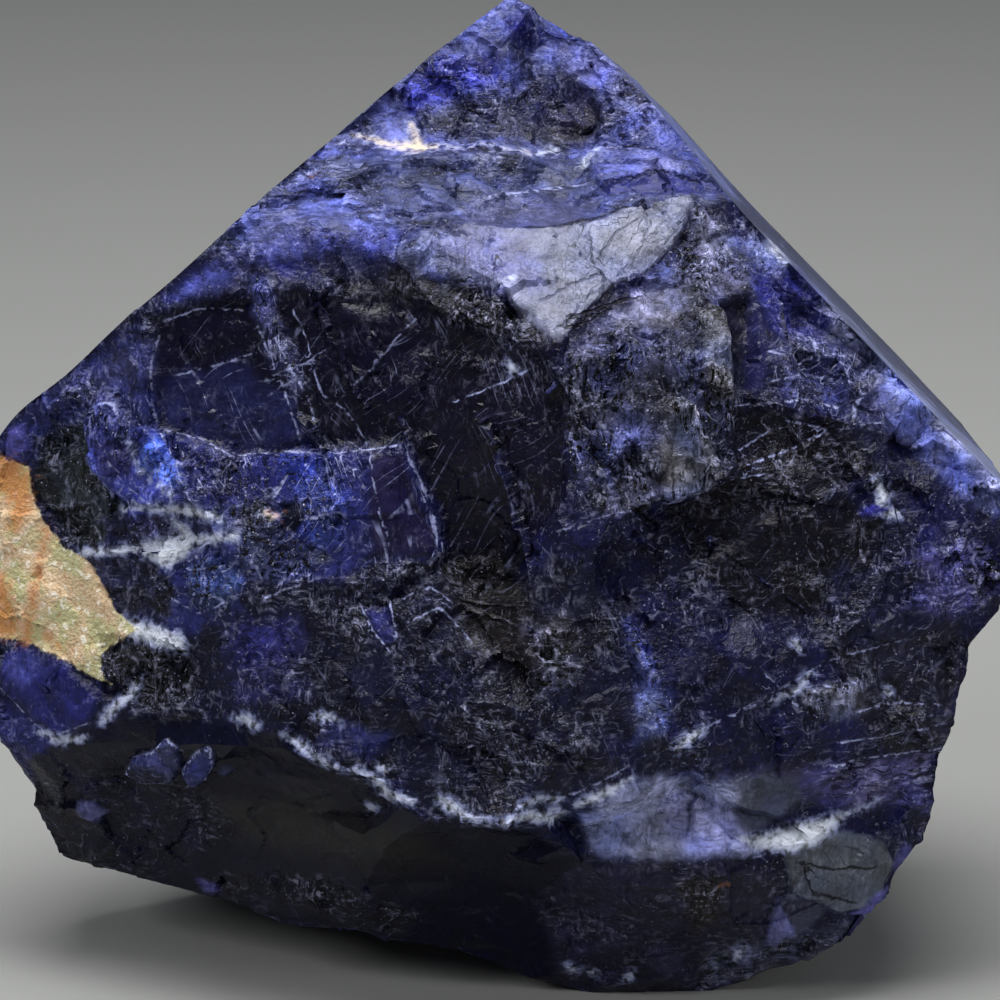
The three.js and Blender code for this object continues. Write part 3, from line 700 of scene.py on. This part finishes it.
DARK_LINES = [
    # The cleavage.
    ([(570, 318), (600, 308), (640, 296)], 1.0),
    ([(560, 330), (590, 320), (620, 304)], 0.9),
    ([(590, 235), (592, 262), (610, 285)], 0.5),
    ([(545, 300), (575, 285), (600, 280)], 0.5),
    ([(640, 250), (650, 225)], 0.4),

    # The grey facets.
    ([(800, 862), (830, 868), (870, 866)], 0.9),
    ([(800, 862), (812, 890), (850, 900)], 0.9),

    # The cleavage again, and the shelf.
    ([(600, 258), (615, 235), (640, 222)], 0.4),
    ([(480, 228), (520, 225), (560, 228), (600, 218), (690, 196)], 0.6),
    ([(330, 178), (400, 186), (470, 192)], 0.4),
    ([(610, 182), (660, 172), (705, 182)], 0.6),
]

# The tan matrix on the left, its rusty places and the other small rusty specks.
MATRIX = [
    (-30, 440), (12, 462), (28, 468), (32, 505), (48, 532), (62, 548), (84, 556), (98, 580), (114, 612),
    (138, 630), (118, 642), (100, 650), (96, 668), (104, 684), (84, 674), (58, 656), (30, 642), (-30, 636),
]
RUST = [
    [(0, 474, 44), (14, 484, 36), (20, 508, 24), (14, 526, 16)],
    [(42, 530, 13), (40, 560, 10), (34, 600, 13), (26, 640, 15)],
    [(-4, 590, 38), (4, 625, 32)],
    [(46, 636, 10), (66, 650, 9)],
    [(266, 512, 5), (276, 516, 8)],
    [(720, 880, 3), (724, 884, 3)],
    [(562, 978, 2), (566, 976, 2)],
    [(309, 172, 3), (315, 174, 4)],
]

# Where the stone's edge moves a little along the broad front, to the photograph's outline: a pixel,
# the way right and down, and the reach, all in pixels.
NUDGES = [
    (380, 115, -9, -11, 190),
    (640, 95, 6, -5, 110),
    (110, 345, -4, -5, 90),
    (20, 418, -8, -9, 50),
    (968, 740, -17, 0, 60),
    (1000, 622, -9, 0, 45),
]

# On the other sides white sheets run through the stone: a point of each, the way it looks and half
# its thickness. The matrix is a cloud around its centre, wider from front to back.
SHEETS = [
    ((-8, 30, 0), (0.08, 0.99, 0.1), 0.35),
    ((0, -25, 0), (0.3, 0.95, -0.15), 0.45),
    ((-30, -4, -10), (0.1, 0.9, -0.3), 0.5),
    ((20, 0, -15), (0.75, 0.3, 0.6), 0.2),
]
MATRIX_CENTRE = np.array([-45, -4, -5])
MATRIX_SPREAD = np.array([1.0, 1.0, 1.6])
MATRIX_REACH = 9
NO_VEIN = -99.0

# Sizes of the noises that make the patches' edges wander, and how far the matrix's edge does.
WAVES = 3.2
RIPPLES = 1.3
MATRIX_WANDER = 4

# In pixels: from where a fine line counts, between which distances beside it it fades out, and how
# far past its ends it has gone.
LINE_REACH = 30.0
LINE_FADES = 9
LINE_GONE = 14
LINE_END = 8

# The relief's plates: their size, seed, lift and lean. The warp that bends them: its size and amount.
BIG_PLATES = (4.2, 11, 0.3, 0.2)
SMALL_PLATES = (1.8, 23, 0.08, 0.2)
WARP_SIZE = 6
WARP = 1.5


def nudged(points):
    """Points of the front frame moved along the broad front, by what the nudges say there."""
    x, y = to_pixels(points)
    moved = points.copy()
    for at_x, at_y, right, down, reach in NUDGES:
        share = np.exp(-((x - at_x) ** 2 + (y - at_y) ** 2) / reach**2) * PIXEL
        moved[:, 0] += right * share
        moved[:, 1] -= down * share
    return moved


def front_fields(points):
    """What the stone is made of on the photographed side, with the shade, sheen and highlights painted
    there, at points of the front frame.
    """
    x, y = to_pixels(nudged(points))
    wave_x, wave_y = (cloudy(points, WAVES, 500 + n) for n in range(2))
    ripple = cloudy(points, RIPPLES, 510, 2)
    tint = np.tile(NAVY, (len(points), 1))
    texture = np.tile(BROKEN, (len(points), 1))
    lift = np.zeros(len(points))
    for patch in PATCHES:
        depth = depth_inside(patch.outline, x + wave_x * patch.wander, y + wave_y * patch.wander)
        share = ramp(depth + ripple * patch.wander, -patch.fade, patch.fade) * patch.weight
        tint = blend(tint, patch.tint, share)
        texture = blend(texture, patch.texture, share)
        lift += patch.lift * share
    depths = np.array([depth_in_stroke(vein, x, y) for vein in CREAM_VEINS + WHITE_VEINS_AND_HIGHLIGHTS])
    return {
        "tint": tint,
        "texture": texture,
        "lift": lift,
        "white": depths.max(axis=0),
        "cream": (depths.argmax(axis=0) < len(CREAM_VEINS)).astype(float),
        "matrix": depth_inside(MATRIX, x + wave_x * MATRIX_WANDER, y + wave_y * MATRIX_WANDER),
        "rust": np.max([depth_in_stroke(line, x, y) for line in RUST], axis=0),
    }


def far_fields(points):
    """The same for every side that the photograph doesn't show, from noise in the whole stone."""
    broad = cloudy(points, 22, 601)
    middle = cloudy(points, 8, 607)
    fine = cloudy(points, 3, 613)
    tint = np.tile(NAVY, (len(points), 1))
    tint = blend(tint, VIOLET, ramp(broad + middle * 0.7, 0.05, 0.6) * 0.8)
    tint = blend(tint, BEDDING, ramp(middle + fine * 0.5, 0.35, 0.7) * 0.7)
    tint = blend(tint, BLACK, ramp(-broad + fine * 0.4, 0.2, 0.5) * 0.85)
    tint = blend(tint, BLUE, ramp(points[:, 1] + middle * 6, 26, 34) * 0.8)
    white = np.full(len(points), NO_VEIN)
    for at, looks, half in SHEETS:
        away = np.abs(height_over((at, looks), points) + middle * 1.6 + fine * 0.5)
        wide = half * (0.8 + fine * 2 + broad * 1.5) + middle * 0.9
        white = np.maximum(white, (wide - away) / PIXEL)
    matrix = (MATRIX_REACH - np.linalg.norm((points - MATRIX_CENTRE) / MATRIX_SPREAD, axis=1)) / PIXEL
    matrix += middle * 40 + fine * 16
    return {
        "tint": tint,
        "texture": np.tile(BROKEN, (len(points), 1)),
        "lift": np.zeros(len(points)),
        "white": white,
        "cream": ramp(cloudy(points, 12, 625), -0.2, 0.3),
        "matrix": matrix,
        "rust": (cloudy(points, 5, 621) - 0.35) * 60 + np.minimum(matrix, 0) * 4,
    }


def varied(points, fields):
    """Tints that drift lighter and darker, and between violet and blue."""
    lively = 0.3 + fields["texture"][:, 0]
    light = (cloudy(points, 2.2, 801) * 0.85 + cloudy(points, 7, 811, 2) * 0.5) * lively
    blueness = np.clip(cloudy(points, 4, 821, 2) + 0.15, -0.05, 1) * lively
    drift = np.column_stack([1 - 0.3 * blueness, 1 - 0.2 * blueness, 1 + 0.1 * blueness])
    return fields["tint"] * np.exp(light)[:, None] * drift * 0.9


def sawn_fields(points, fields):
    """The sawn faces show the same stone, smoother and greyer."""
    share = np.zeros(len(points))
    for face in (SAWN_RIGHT, SAWN_LEFT):
        share = np.maximum(share, lies_on(face, points))
    fields["tint"] = blend(fields["tint"], SAWN, share * 0.32)
    fields["texture"] = blend(fields["texture"], SAWN_TEXTURE, share)
    return fields


def fields_at(points, normals):
    """What the stone is made of at each corner of the mesh, with the shade, sheen and highlights painted on
    it.
    """
    front = front_fields(points)
    far = far_fields(points)
    share = ramp(normals[:, 2] + cloudy(points, 4, 631, 2) * 0.1, -0.02, 0.12)
    fields = {name: blend(far[name], front[name], share) for name in front}
    fields["near"] = ramp(normals[:, 2], 0.1, 0.5)
    fields["tint"] = varied(points, fields)
    fields["texture"][:, 0] *= 0.55 + 0.95 * ramp(cloudy(points, 7, 641, 2), -0.35, 0.4)
    return sawn_fields(points, fields)


def line_fields(points, normals):
    """How far beside the nearest fine line a point is, and that line's strength, negative if dark."""
    x, y = to_pixels(nudged(points))
    nearest = np.full(len(points), LINE_REACH)
    offset = np.full(len(points), LINE_REACH)
    strength = np.zeros(len(points))
    for line, power in LIGHT_LINES + [(line, -power) for line, power in DARK_LINES]:
        for n, (a, b) in enumerate(zip(line, line[1:])):
            along_x, along_y = b[0] - a[0], b[1] - a[1]
            length = math.hypot(along_x, along_y)
            along = ((x - a[0]) * along_x + (y - a[1]) * along_y) / length
            beside = ((x - a[0]) * along_y - (y - a[1]) * along_x) / length
            before = -along if n == 0 else np.zeros(len(x))
            beyond = along - length if n == len(line) - 2 else np.zeros(len(x))
            away = np.hypot(beside, np.maximum(np.maximum(-along, along - length), 0))
            nearer = away < nearest
            nearest = np.where(nearer, away, nearest)
            offset = np.where(nearer, beside, offset)
            fade = 1 - ramp(np.maximum(before, beyond), 0, LINE_END)
            strength = np.where(nearer, power * fade, strength)
    strength *= (1 - ramp(nearest, LINE_FADES, LINE_GONE)) * ramp(normals[:, 2], 0.0, 0.1)
    return offset, strength


# ---- The shape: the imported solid, refined, softened a little and broken up again


def packed_stone():
    """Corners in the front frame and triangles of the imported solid, with split corners joined."""
    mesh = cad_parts[STONE].data
    flat = np.empty(len(mesh.vertices) * 3, np.float32)
    mesh.vertices.foreach_get("co", flat)
    loops = np.empty(len(mesh.loops), np.int32)
    mesh.loops.foreach_get("vertex_index", loops)
    joined, which = np.unique(flat.reshape(-1, 3), axis=0, return_inverse=True)
    triangles = which.ravel()[loops].reshape(-1, 3)
    whole = (triangles != np.roll(triangles, 1, axis=1)).all(axis=1)
    return to_front(joined.astype(float) / MM), triangles[whole]


def held_corners(points, creases):
    """The corners on creases and true faces, which softening leaves where they are."""
    held = np.zeros(len(points), bool)
    held[creases // CODE] = True
    held[creases % CODE] = True
    for face in TRUE_FACES:
        held |= lies_on(face, points)
    return held


def relief(points, fields):
    """How far the broken surface stands out of the refined solid."""
    fleck = fields["texture"][:, 0]
    near = fields["near"]
    warp = np.column_stack([cloudy(points, WARP_SIZE, 700 + n, 2) for n in range(3)]) * WARP
    height = plates(points + warp, *BIG_PLATES) * (0.2 + fleck * 1.1) * (0.5 + 0.5 * near)
    height += plates(points + warp, *SMALL_PLATES) * (0.05 + fleck) * near
    height += fields["lift"]
    height += cloudy(points, 0.9, 37, 2) * (0.02 + fleck * 0.06)
    return height


def relieved(points, normals, fields):
    """The fine mesh with its relief, its true faces kept flat."""
    moved = points + normals * relief(points, fields)[:, None]
    for face in TRUE_FACES:
        proud = height_over(face, moved)
        back = np.where(lies_on(face, points), proud, np.maximum(proud, 0))
        moved -= back[:, None] * unit(np.array(face[1]))
    return moved


def to_linear(tint):
    """Screen colours from 0 to 255 as the numbers that shaders use."""
    value = np.clip(tint / 255, 0, 1)
    return np.where(value < 0.04045, value / 12.92, ((value + 0.055) / 1.055) ** 2.4)


def attach(mesh, name, columns):
    """Up to three numbers at each corner, which the material reads as one vector."""
    values = np.zeros((len(mesh.vertices), 3), np.float32)
    values[:, :len(columns)] = np.column_stack(columns)
    mesh.attributes.new(name, "FLOAT_VECTOR", "POINT").data.foreach_set("vector", values.ravel())


def mesh_of(points, triangles):
    """A Blender mesh of triangles between corners in the front frame."""
    mesh = bpy.data.meshes.new("stone")
    mesh.vertices.add(len(points))
    mesh.vertices.foreach_set("co", (to_world(points) * MM).astype(np.float32).ravel())
    mesh.loops.add(triangles.size)
    mesh.loops.foreach_set("vertex_index", triangles.astype(np.int32).ravel())
    mesh.polygons.add(len(triangles))
    mesh.polygons.foreach_set("loop_start", np.arange(0, triangles.size, 3, dtype=np.int32))
    mesh.update()
    return mesh


def stone_mesh():
    """The stone's mesh, with what it is made of, and its painted shade, sheen and highlights, at each
    corner.
    """
    points, triangles = packed_stone()
    points, triangles, creases = refined(points, triangles, COARSE)
    points = smoothed(points, triangles, held_corners(points, creases), SOFT_ROUNDS)
    points, triangles, _ = refined(points, triangles, 1)
    normals = corner_normals(points, triangles)
    fields = fields_at(points, normals)
    fleck, upright, scratch, rough = fields["texture"].T

    mesh = mesh_of(nudged(relieved(points, normals, fields)), triangles)
    attach(mesh, "tint", to_linear(fields["tint"]).T)
    attach(mesh, "texture", [fleck, upright, scratch])
    attach(mesh, "minerals_and_highlights", [fields["white"], fields["matrix"], fields["rust"]])
    attach(mesh, "line", line_fields(points, normals))
    attach(mesh, "finish", [rough, fields["cream"]])
    mesh.shade_smooth()
    mesh.set_sharp_from_angle(angle=SHARP)
    return mesh


# ---- The stone's material

# Its noises count in millimetres, and the depths of its lines, veins and matrix in pixels. What is
# ragged goes from about -0.5 to 0.5, and times a number of pixels it is how far an edge wanders.

# Linear light of the glints, then screen colours of the light lines, the cracks and the grit.
GLINT = (0.27, 0.28, 0.4)
SCRATCHED = (150, 156, 200)
CRACK = (5, 5, 12)
GRITTY_PALE = (236, 228, 212)
GRITTY_DARK = (168, 128, 90)

# Scales of the noises.
FINE_SCALE = 1.4
GRAIN_SCALE = 3.4
WARP_SCALE = 0.7
CLUSTER_SCALE = 0.25
EDGE_SCALE = 0.36
BEND_SCALE = 0.11
SAND_SCALE = 0.4

# How far the edges of lines, veins and painted highlights, matrix and rust wander, and the depths
# between which they fade in. Veins and painted highlights have a bluish edge and a whole core.
LINE_WANDER = 7
LINE_FADE = (1.7, 0.1)
WHITE_WANDER = 12
WHITE_EDGE = (-7, 3)
WHITE_CORE = (-3, 10)
SAND_WANDER = 8
SAND_FADE = (-1.5, 1.5)
RUST_WANDER = 36
RUST_FADE = (-4, 10)

# How fine the streaks' noise is each way, where they lie along the beds and where they stand on end,
# and how far another noise warps them, in millimetres.
LYING = (0.55, 1.0, 3.2)
STANDING = (3.0, 3.0, 0.6)
STREAK_WARP = (0.9, 0.9, 0.9)

# Hairs run up the broad front: the angle they are turned in it, how long their noise is each way, and
# half their width in it. A slow noise bends them, by millimetres. Thin broken edges have a half width.
STEEP_HAIRS = (-0.38, (1.1, 12, 50), 0.019)
SLANTED_HAIRS = (0.85, (1.0, 12, 50), 0.014)
HAIR_BEND = (6, 6, 6)
THIN_EDGE = 0.022

# How high the finest relief stands, in millimetres.
CRINKLES = 0.7
GRAIN = 0.03
CRACK_DEPTH = 0.2
GRIT = 0.15

REFRACTION = 1.48
SPECULAR = 0.22


class Number:
    """A number in a node tree. Reckoning with it adds the nodes that do the sum."""

    def __init__(self, shader, socket):
        self.shader = shader
        self.socket = socket

    def __add__(self, other):
        return self.shader.math("ADD", self, other)

    def __sub__(self, other):
        return self.shader.math("SUBTRACT", self, other)

    def __mul__(self, other):
        return self.shader.math("MULTIPLY", self, other)

    def __abs__(self):
        return self.shader.math("ABSOLUTE", self)

    def at_least(self, other):
        """This number, or the other where that is larger."""
        return self.shader.math("MAXIMUM", self, other)


class Shader:
    """A material's node tree, with short ways to add to it. The functions below call it s."""

    def __init__(self, material):
        material.use_nodes = True
        self.tree = material.node_tree
        self.surface = self.tree.nodes["Principled BSDF"].inputs

    def set(self, socket, value):
        """Links another socket, or a number's, to this one, or else sets what it holds."""
        value = getattr(value, "socket", value)
        if isinstance(value, bpy.types.NodeSocket):
            self.tree.links.new(value, socket)
        else:
            socket.default_value = value

    def node(self, kind, inputs=(), **settings):
        made = self.tree.nodes.new("ShaderNode" + kind)
        for name, value in settings.items():
            setattr(made, name, value)
        for socket, value in dict(inputs).items():
            self.set(made.inputs[socket], value)
        return made

    def math(self, operation, *values):
        made = self.node("Math", enumerate(values), operation=operation)
        return Number(self, made.outputs[0])

    def vector(self, operation, *values):
        return self.node("VectorMath", enumerate(values), operation=operation).outputs["Vector"]

    def scaled(self, vector, factor):
        inputs = {"Vector": vector, "Scale": factor}
        return self.node("VectorMath", inputs, operation="SCALE").outputs["Vector"]

    def step(self, value, low, high):
        """A smooth step from 0 at low to 1 at high."""
        inputs = {"Value": value, "From Min": low, "From Max": high}
        made = self.node("MapRange", inputs, interpolation_type="SMOOTHSTEP")
        return Number(self, made.outputs["Result"])

    def mix(self, share, a, b):
        """A colour between a and b. The node's own names repeat, so its sockets are numbered."""
        return self.node("Mix", {0: share, 6: a, 7: b}, data_type="RGBA").outputs[2]

    def attribute(self, name):
        return self.node("Attribute", attribute_name=name).outputs["Vector"]

    def parts(self, vector):
        split = self.node("SeparateXYZ", {"Vector": vector})
        return [Number(self, socket) for socket in split.outputs]

    def noise(self, vector, scale, detail=2, roughness=0.55):
        inputs = {"Vector": vector, "Scale": scale, "Detail": detail, "Roughness": roughness}
        return Number(self, self.node("TexNoise", inputs).outputs["Fac"])

    def swirl(self, vector, scale, detail):
        """Three noises at once, as a vector."""
        inputs = {"Vector": vector, "Scale": scale, "Detail": detail}
        return self.node("TexNoise", inputs).outputs["Color"]


def colour(tint):
    return (*to_linear(np.array(tint, float)), 1)


def thin_lines(s, noise, half):
    """Lines where a noise passes its middle, full at the middle and gone at half their width."""
    return s.step(abs(noise - 0.5), half, half * 0.2)


def streak_pattern(s, position, upright, pick):
    """Crinkled streaks that lie along the beds or stand on end, or both in turn."""
    lying, standing = (
        s.noise(s.vector("MULTIPLY", position, size), 1.0, 2, roughness=0.7) for size in (LYING, STANDING)
    )
    return lying + (standing - lying) * s.step(pick * 1.2 + upright, 0.95, 1.25)


def toned(s, streaks, fleck, fine):
    """The stone's tint, darker in the gaps between streaks and uneven."""
    gaps = s.step(streaks, 0.52, 0.38) * (fleck + 0.15)
    uneven = (fine - 0.5) * (fleck * 2.2 + 0.8)
    return s.scaled(s.attribute("tint"), (gaps * -0.85 + 1) * (uneven + 1))


def glints(s, position, streaks, clusters, fine, grain):
    """Light thrown back by crowded streaks, by single grains and by thin broken edges."""
    crowded = s.step(streaks, 0.48, 0.7) * s.step(clusters, 0.44, 0.62) * s.step(fine, 0.3, 0.56)
    sparks = s.step(grain, 0.66, 0.8) * 1.2
    edges = thin_lines(s, s.noise(position, EDGE_SCALE, 1), THIN_EDGE) * s.step(fine, 0.42, 0.64)
    return crowded + sparks + edges * 0.5


def hairs(s, place, turn, size, half):
    """Thin lines, nearly straight where the place they are given isn't bent."""
    inputs = {"Vector": place, "Rotation": (0, turn, 0), "Scale": size}
    turned = s.node("Mapping", inputs, vector_type="TEXTURE").outputs[0]
    return thin_lines(s, s.noise(turned, 1.0, 0), half)


def scratches(s, place, clusters, fine):
    """Hairs a little bent, steep ones in the clusters and slanted ones between them."""
    bent = s.vector("MULTIPLY_ADD", s.swirl(place, BEND_SCALE, 0), HAIR_BEND, place)
    steep = hairs(s, bent, *STEEP_HAIRS) * s.step(clusters, 0.48, 0.62)
    slanted = hairs(s, bent, *SLANTED_HAIRS) * s.step(clusters, 0.5, 0.38)
    return steep.at_least(slanted) * s.step(fine, 0.34, 0.6)


def broken_stone(s, place, fine, grain, texture):
    """The stone's own colour, with its glints and with scratches, or cracks in their stead."""
    fleck, upright, scratch = texture
    warp = s.swirl(place, WARP_SCALE, 1)
    position = s.vector("MULTIPLY_ADD", warp, STREAK_WARP, place)
    streaks = streak_pattern(s, position, upright, s.parts(warp)[0])
    clusters = s.noise(place, CLUSTER_SCALE)
    glint = glints(s, position, streaks, clusters, fine, grain) * fleck
    stone = s.vector("ADD", toned(s, streaks, fleck, fine), s.scaled(GLINT, glint))
    hair = scratches(s, place, clusters, fine) * scratch
    stone = s.mix(hair.at_least(0), stone, colour(SCRATCHED))
    return s.mix((hair * -1).at_least(0), stone, colour(CRACK))


def with_lines(s, stone, line, ragged, fine):
    """The fine light lines and the dark cracks, broken here and there. Also gives the cracks."""
    offset, strength, _ = line
    cover = s.step(abs(ragged * LINE_WANDER + offset), *LINE_FADE) * strength
    dark = (cover * -1).at_least(0)
    stone = s.mix(cover.at_least(0) * s.step(fine, 0.42, 0.62), stone, colour(SCRATCHED))
    return s.mix(dark * 0.9, stone, colour(CRACK)), dark


def with_veins_and_highlights(s, stone, white, cream, ragged, fine):
    """White and cream veins, and a few painted highlights drawn the same way, with bluish edges that the
    stone shows through. Also gives their share.
    """
    depth = ragged * WHITE_WANDER + white
    edge = s.step(depth, *WHITE_EDGE) * s.step(fine, 0.38, 0.6) * 0.7
    core = s.step(depth, *WHITE_CORE) * s.step(fine, 0.15, 0.5)
    stone = s.mix(edge, stone, colour(BLUISH_WHITE))
    return s.mix(core, stone, s.mix(cream, colour(WHITE), colour(CREAM))), core


def sand_colour(s, place, fine, grain):
    """The matrix's sand, in two tints with pale and dark grit."""
    sand = s.mix(s.step(s.noise(place, SAND_SCALE, 1), 0.4, 0.6), colour(SAND), colour(OLIVE))
    sand = s.mix(s.step(fine, 0.55, 0.66), sand, colour(GRITTY_PALE))
    return s.mix(s.step(fine + grain, 0.95, 0.7) * 0.6, sand, colour(GRITTY_DARK))


def fine_relief(s, fine, grain, lively, dark, sandy):
    """Relief finer than the mesh: crinkles, grain, cracks and grit."""
    crinkles = abs(fine - 0.5) * CRINKLES * (lively + 0.12)
    height = crinkles + grain * GRAIN - dark * CRACK_DEPTH + grain * sandy * GRIT
    return s.node("Bump", {"Height": height, "Strength": 1.0, "Distance": MM}).outputs["Normal"]


def stone_material():
    material = bpy.data.materials.new("sodalite")
    s = Shader(material)
    place = s.scaled(s.node("TexCoord").outputs["Object"], 1 / MM)
    texture = s.parts(s.attribute("texture"))
    white, matrix, rust = s.parts(s.attribute("minerals_and_highlights"))
    rough, cream, _ = s.parts(s.attribute("finish"))
    fine = s.noise(place, FINE_SCALE, 3)
    grain = s.noise(place, GRAIN_SCALE, 1)
    ragged = fine - 0.5

    stone = broken_stone(s, place, fine, grain, texture)
    stone, dark = with_lines(s, stone, s.parts(s.attribute("line")), ragged, fine)
    stone, vein = with_veins_and_highlights(s, stone, white, cream, ragged, fine)
    sandy = s.step(ragged * SAND_WANDER + matrix, *SAND_FADE)
    stone = s.mix(sandy, stone, sand_colour(s, place, fine, grain))
    rusty = s.step(ragged * RUST_WANDER + rust, *RUST_FADE) * (sandy * 0.4 + 0.4)
    dull = sandy.at_least(vein * 0.5)
    s.set(s.surface["Base Color"], s.mix(rusty, stone, colour(OCHRE)))
    s.set(s.surface["Roughness"], rough + ragged * 0.3 + dull * 0.35)
    s.set(s.surface["IOR"], REFRACTION)
    s.set(s.surface["Specular IOR Level"], SPECULAR)
    s.set(s.surface["Normal"], fine_relief(s, fine, grain, texture[0], dark, sandy))
    return material


# ---- The studio

# In metres and watts. A light has a place, the sizes of its sides and a power.
FLOOR_HALF = 3
PAPER = (140, 141, 139)
PAPER_ROUGHNESS = 0.8
CLIP_START = 0.01
SKY = (0.9, 0.93, 1.0, 1)
SKY_STRENGTH = 0.15
AIM = (0, 0, 0.04)
OVERHEAD = ((0, -0.02, 0.55), (0.36, 0.3), 4.3)
FILL_SIZE = (0.25, 0.25)
LEFT_FILL = ((-0.5, -0.38, 0.42), FILL_SIZE, 2.2)
RIGHT_FILL = ((0.5, -0.4, 0.25), FILL_SIZE, 1.3)


def made_object(name, data):
    made = bpy.data.objects.new(name, data)
    bpy.context.collection.objects.link(made)
    return made


def make_floor():
    mesh = bpy.data.meshes.new("floor")
    corners = [(x * FLOOR_HALF, y * FLOOR_HALF, 0) for x, y in ((-1, -1), (1, -1), (1, 1), (-1, 1))]
    mesh.from_pydata(corners, [], [(0, 1, 2, 3)])
    material = bpy.data.materials.new("paper")
    s = Shader(material)
    s.set(s.surface["Base Color"], colour(PAPER))
    s.set(s.surface["Roughness"], PAPER_ROUGHNESS)
    mesh.materials.append(material)
    made_object("floor", mesh)


def make_camera():
    data = bpy.data.cameras.new("camera")
    data.sensor_width = SENSOR_WIDTH
    data.lens = CAMERA_DISTANCE * SENSOR_WIDTH / (PHOTO_SIZE * PIXEL)
    data.clip_start = CLIP_START
    camera = made_object("camera", data)
    camera.location = to_world(np.array([[0, 0, CAMERA_DISTANCE]]))[0] * MM
    camera.rotation_euler = (math.pi / 2 - LEAN, 0, 0)
    bpy.context.scene.camera = camera


def make_light(name, location, size, power):
    """A light that looks at the stone."""
    data = bpy.data.lights.new(name, "AREA")
    data.shape = "RECTANGLE"
    data.size, data.size_y = size
    data.energy = power
    light = made_object(name, data)
    light.location = location
    light.rotation_euler = (Vector(AIM) - Vector(location)).to_track_quat("-Z", "Y").to_euler()
    return light


def make_world():
    world = bpy.data.worlds.new("studio")
    world.use_nodes = True
    background = world.node_tree.nodes["Background"]
    background.inputs["Color"].default_value = SKY
    background.inputs["Strength"].default_value = SKY_STRENGTH
    bpy.context.scene.world = world
    bpy.context.scene.view_settings.view_transform = "Standard"


stone = made_object("sodalite_stone", stone_mesh())
stone.data.materials.append(stone_material())
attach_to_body(stone, "root")
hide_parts(STONE)

make_floor()
make_camera()
make_world()
make_light("overhead", *OVERHEAD)
# The fills brighten the stone without a highlight of their own.
make_light("left fill", *LEFT_FILL).visible_glossy = False
make_light("right fill", *RIGHT_FILL).visible_glossy = False
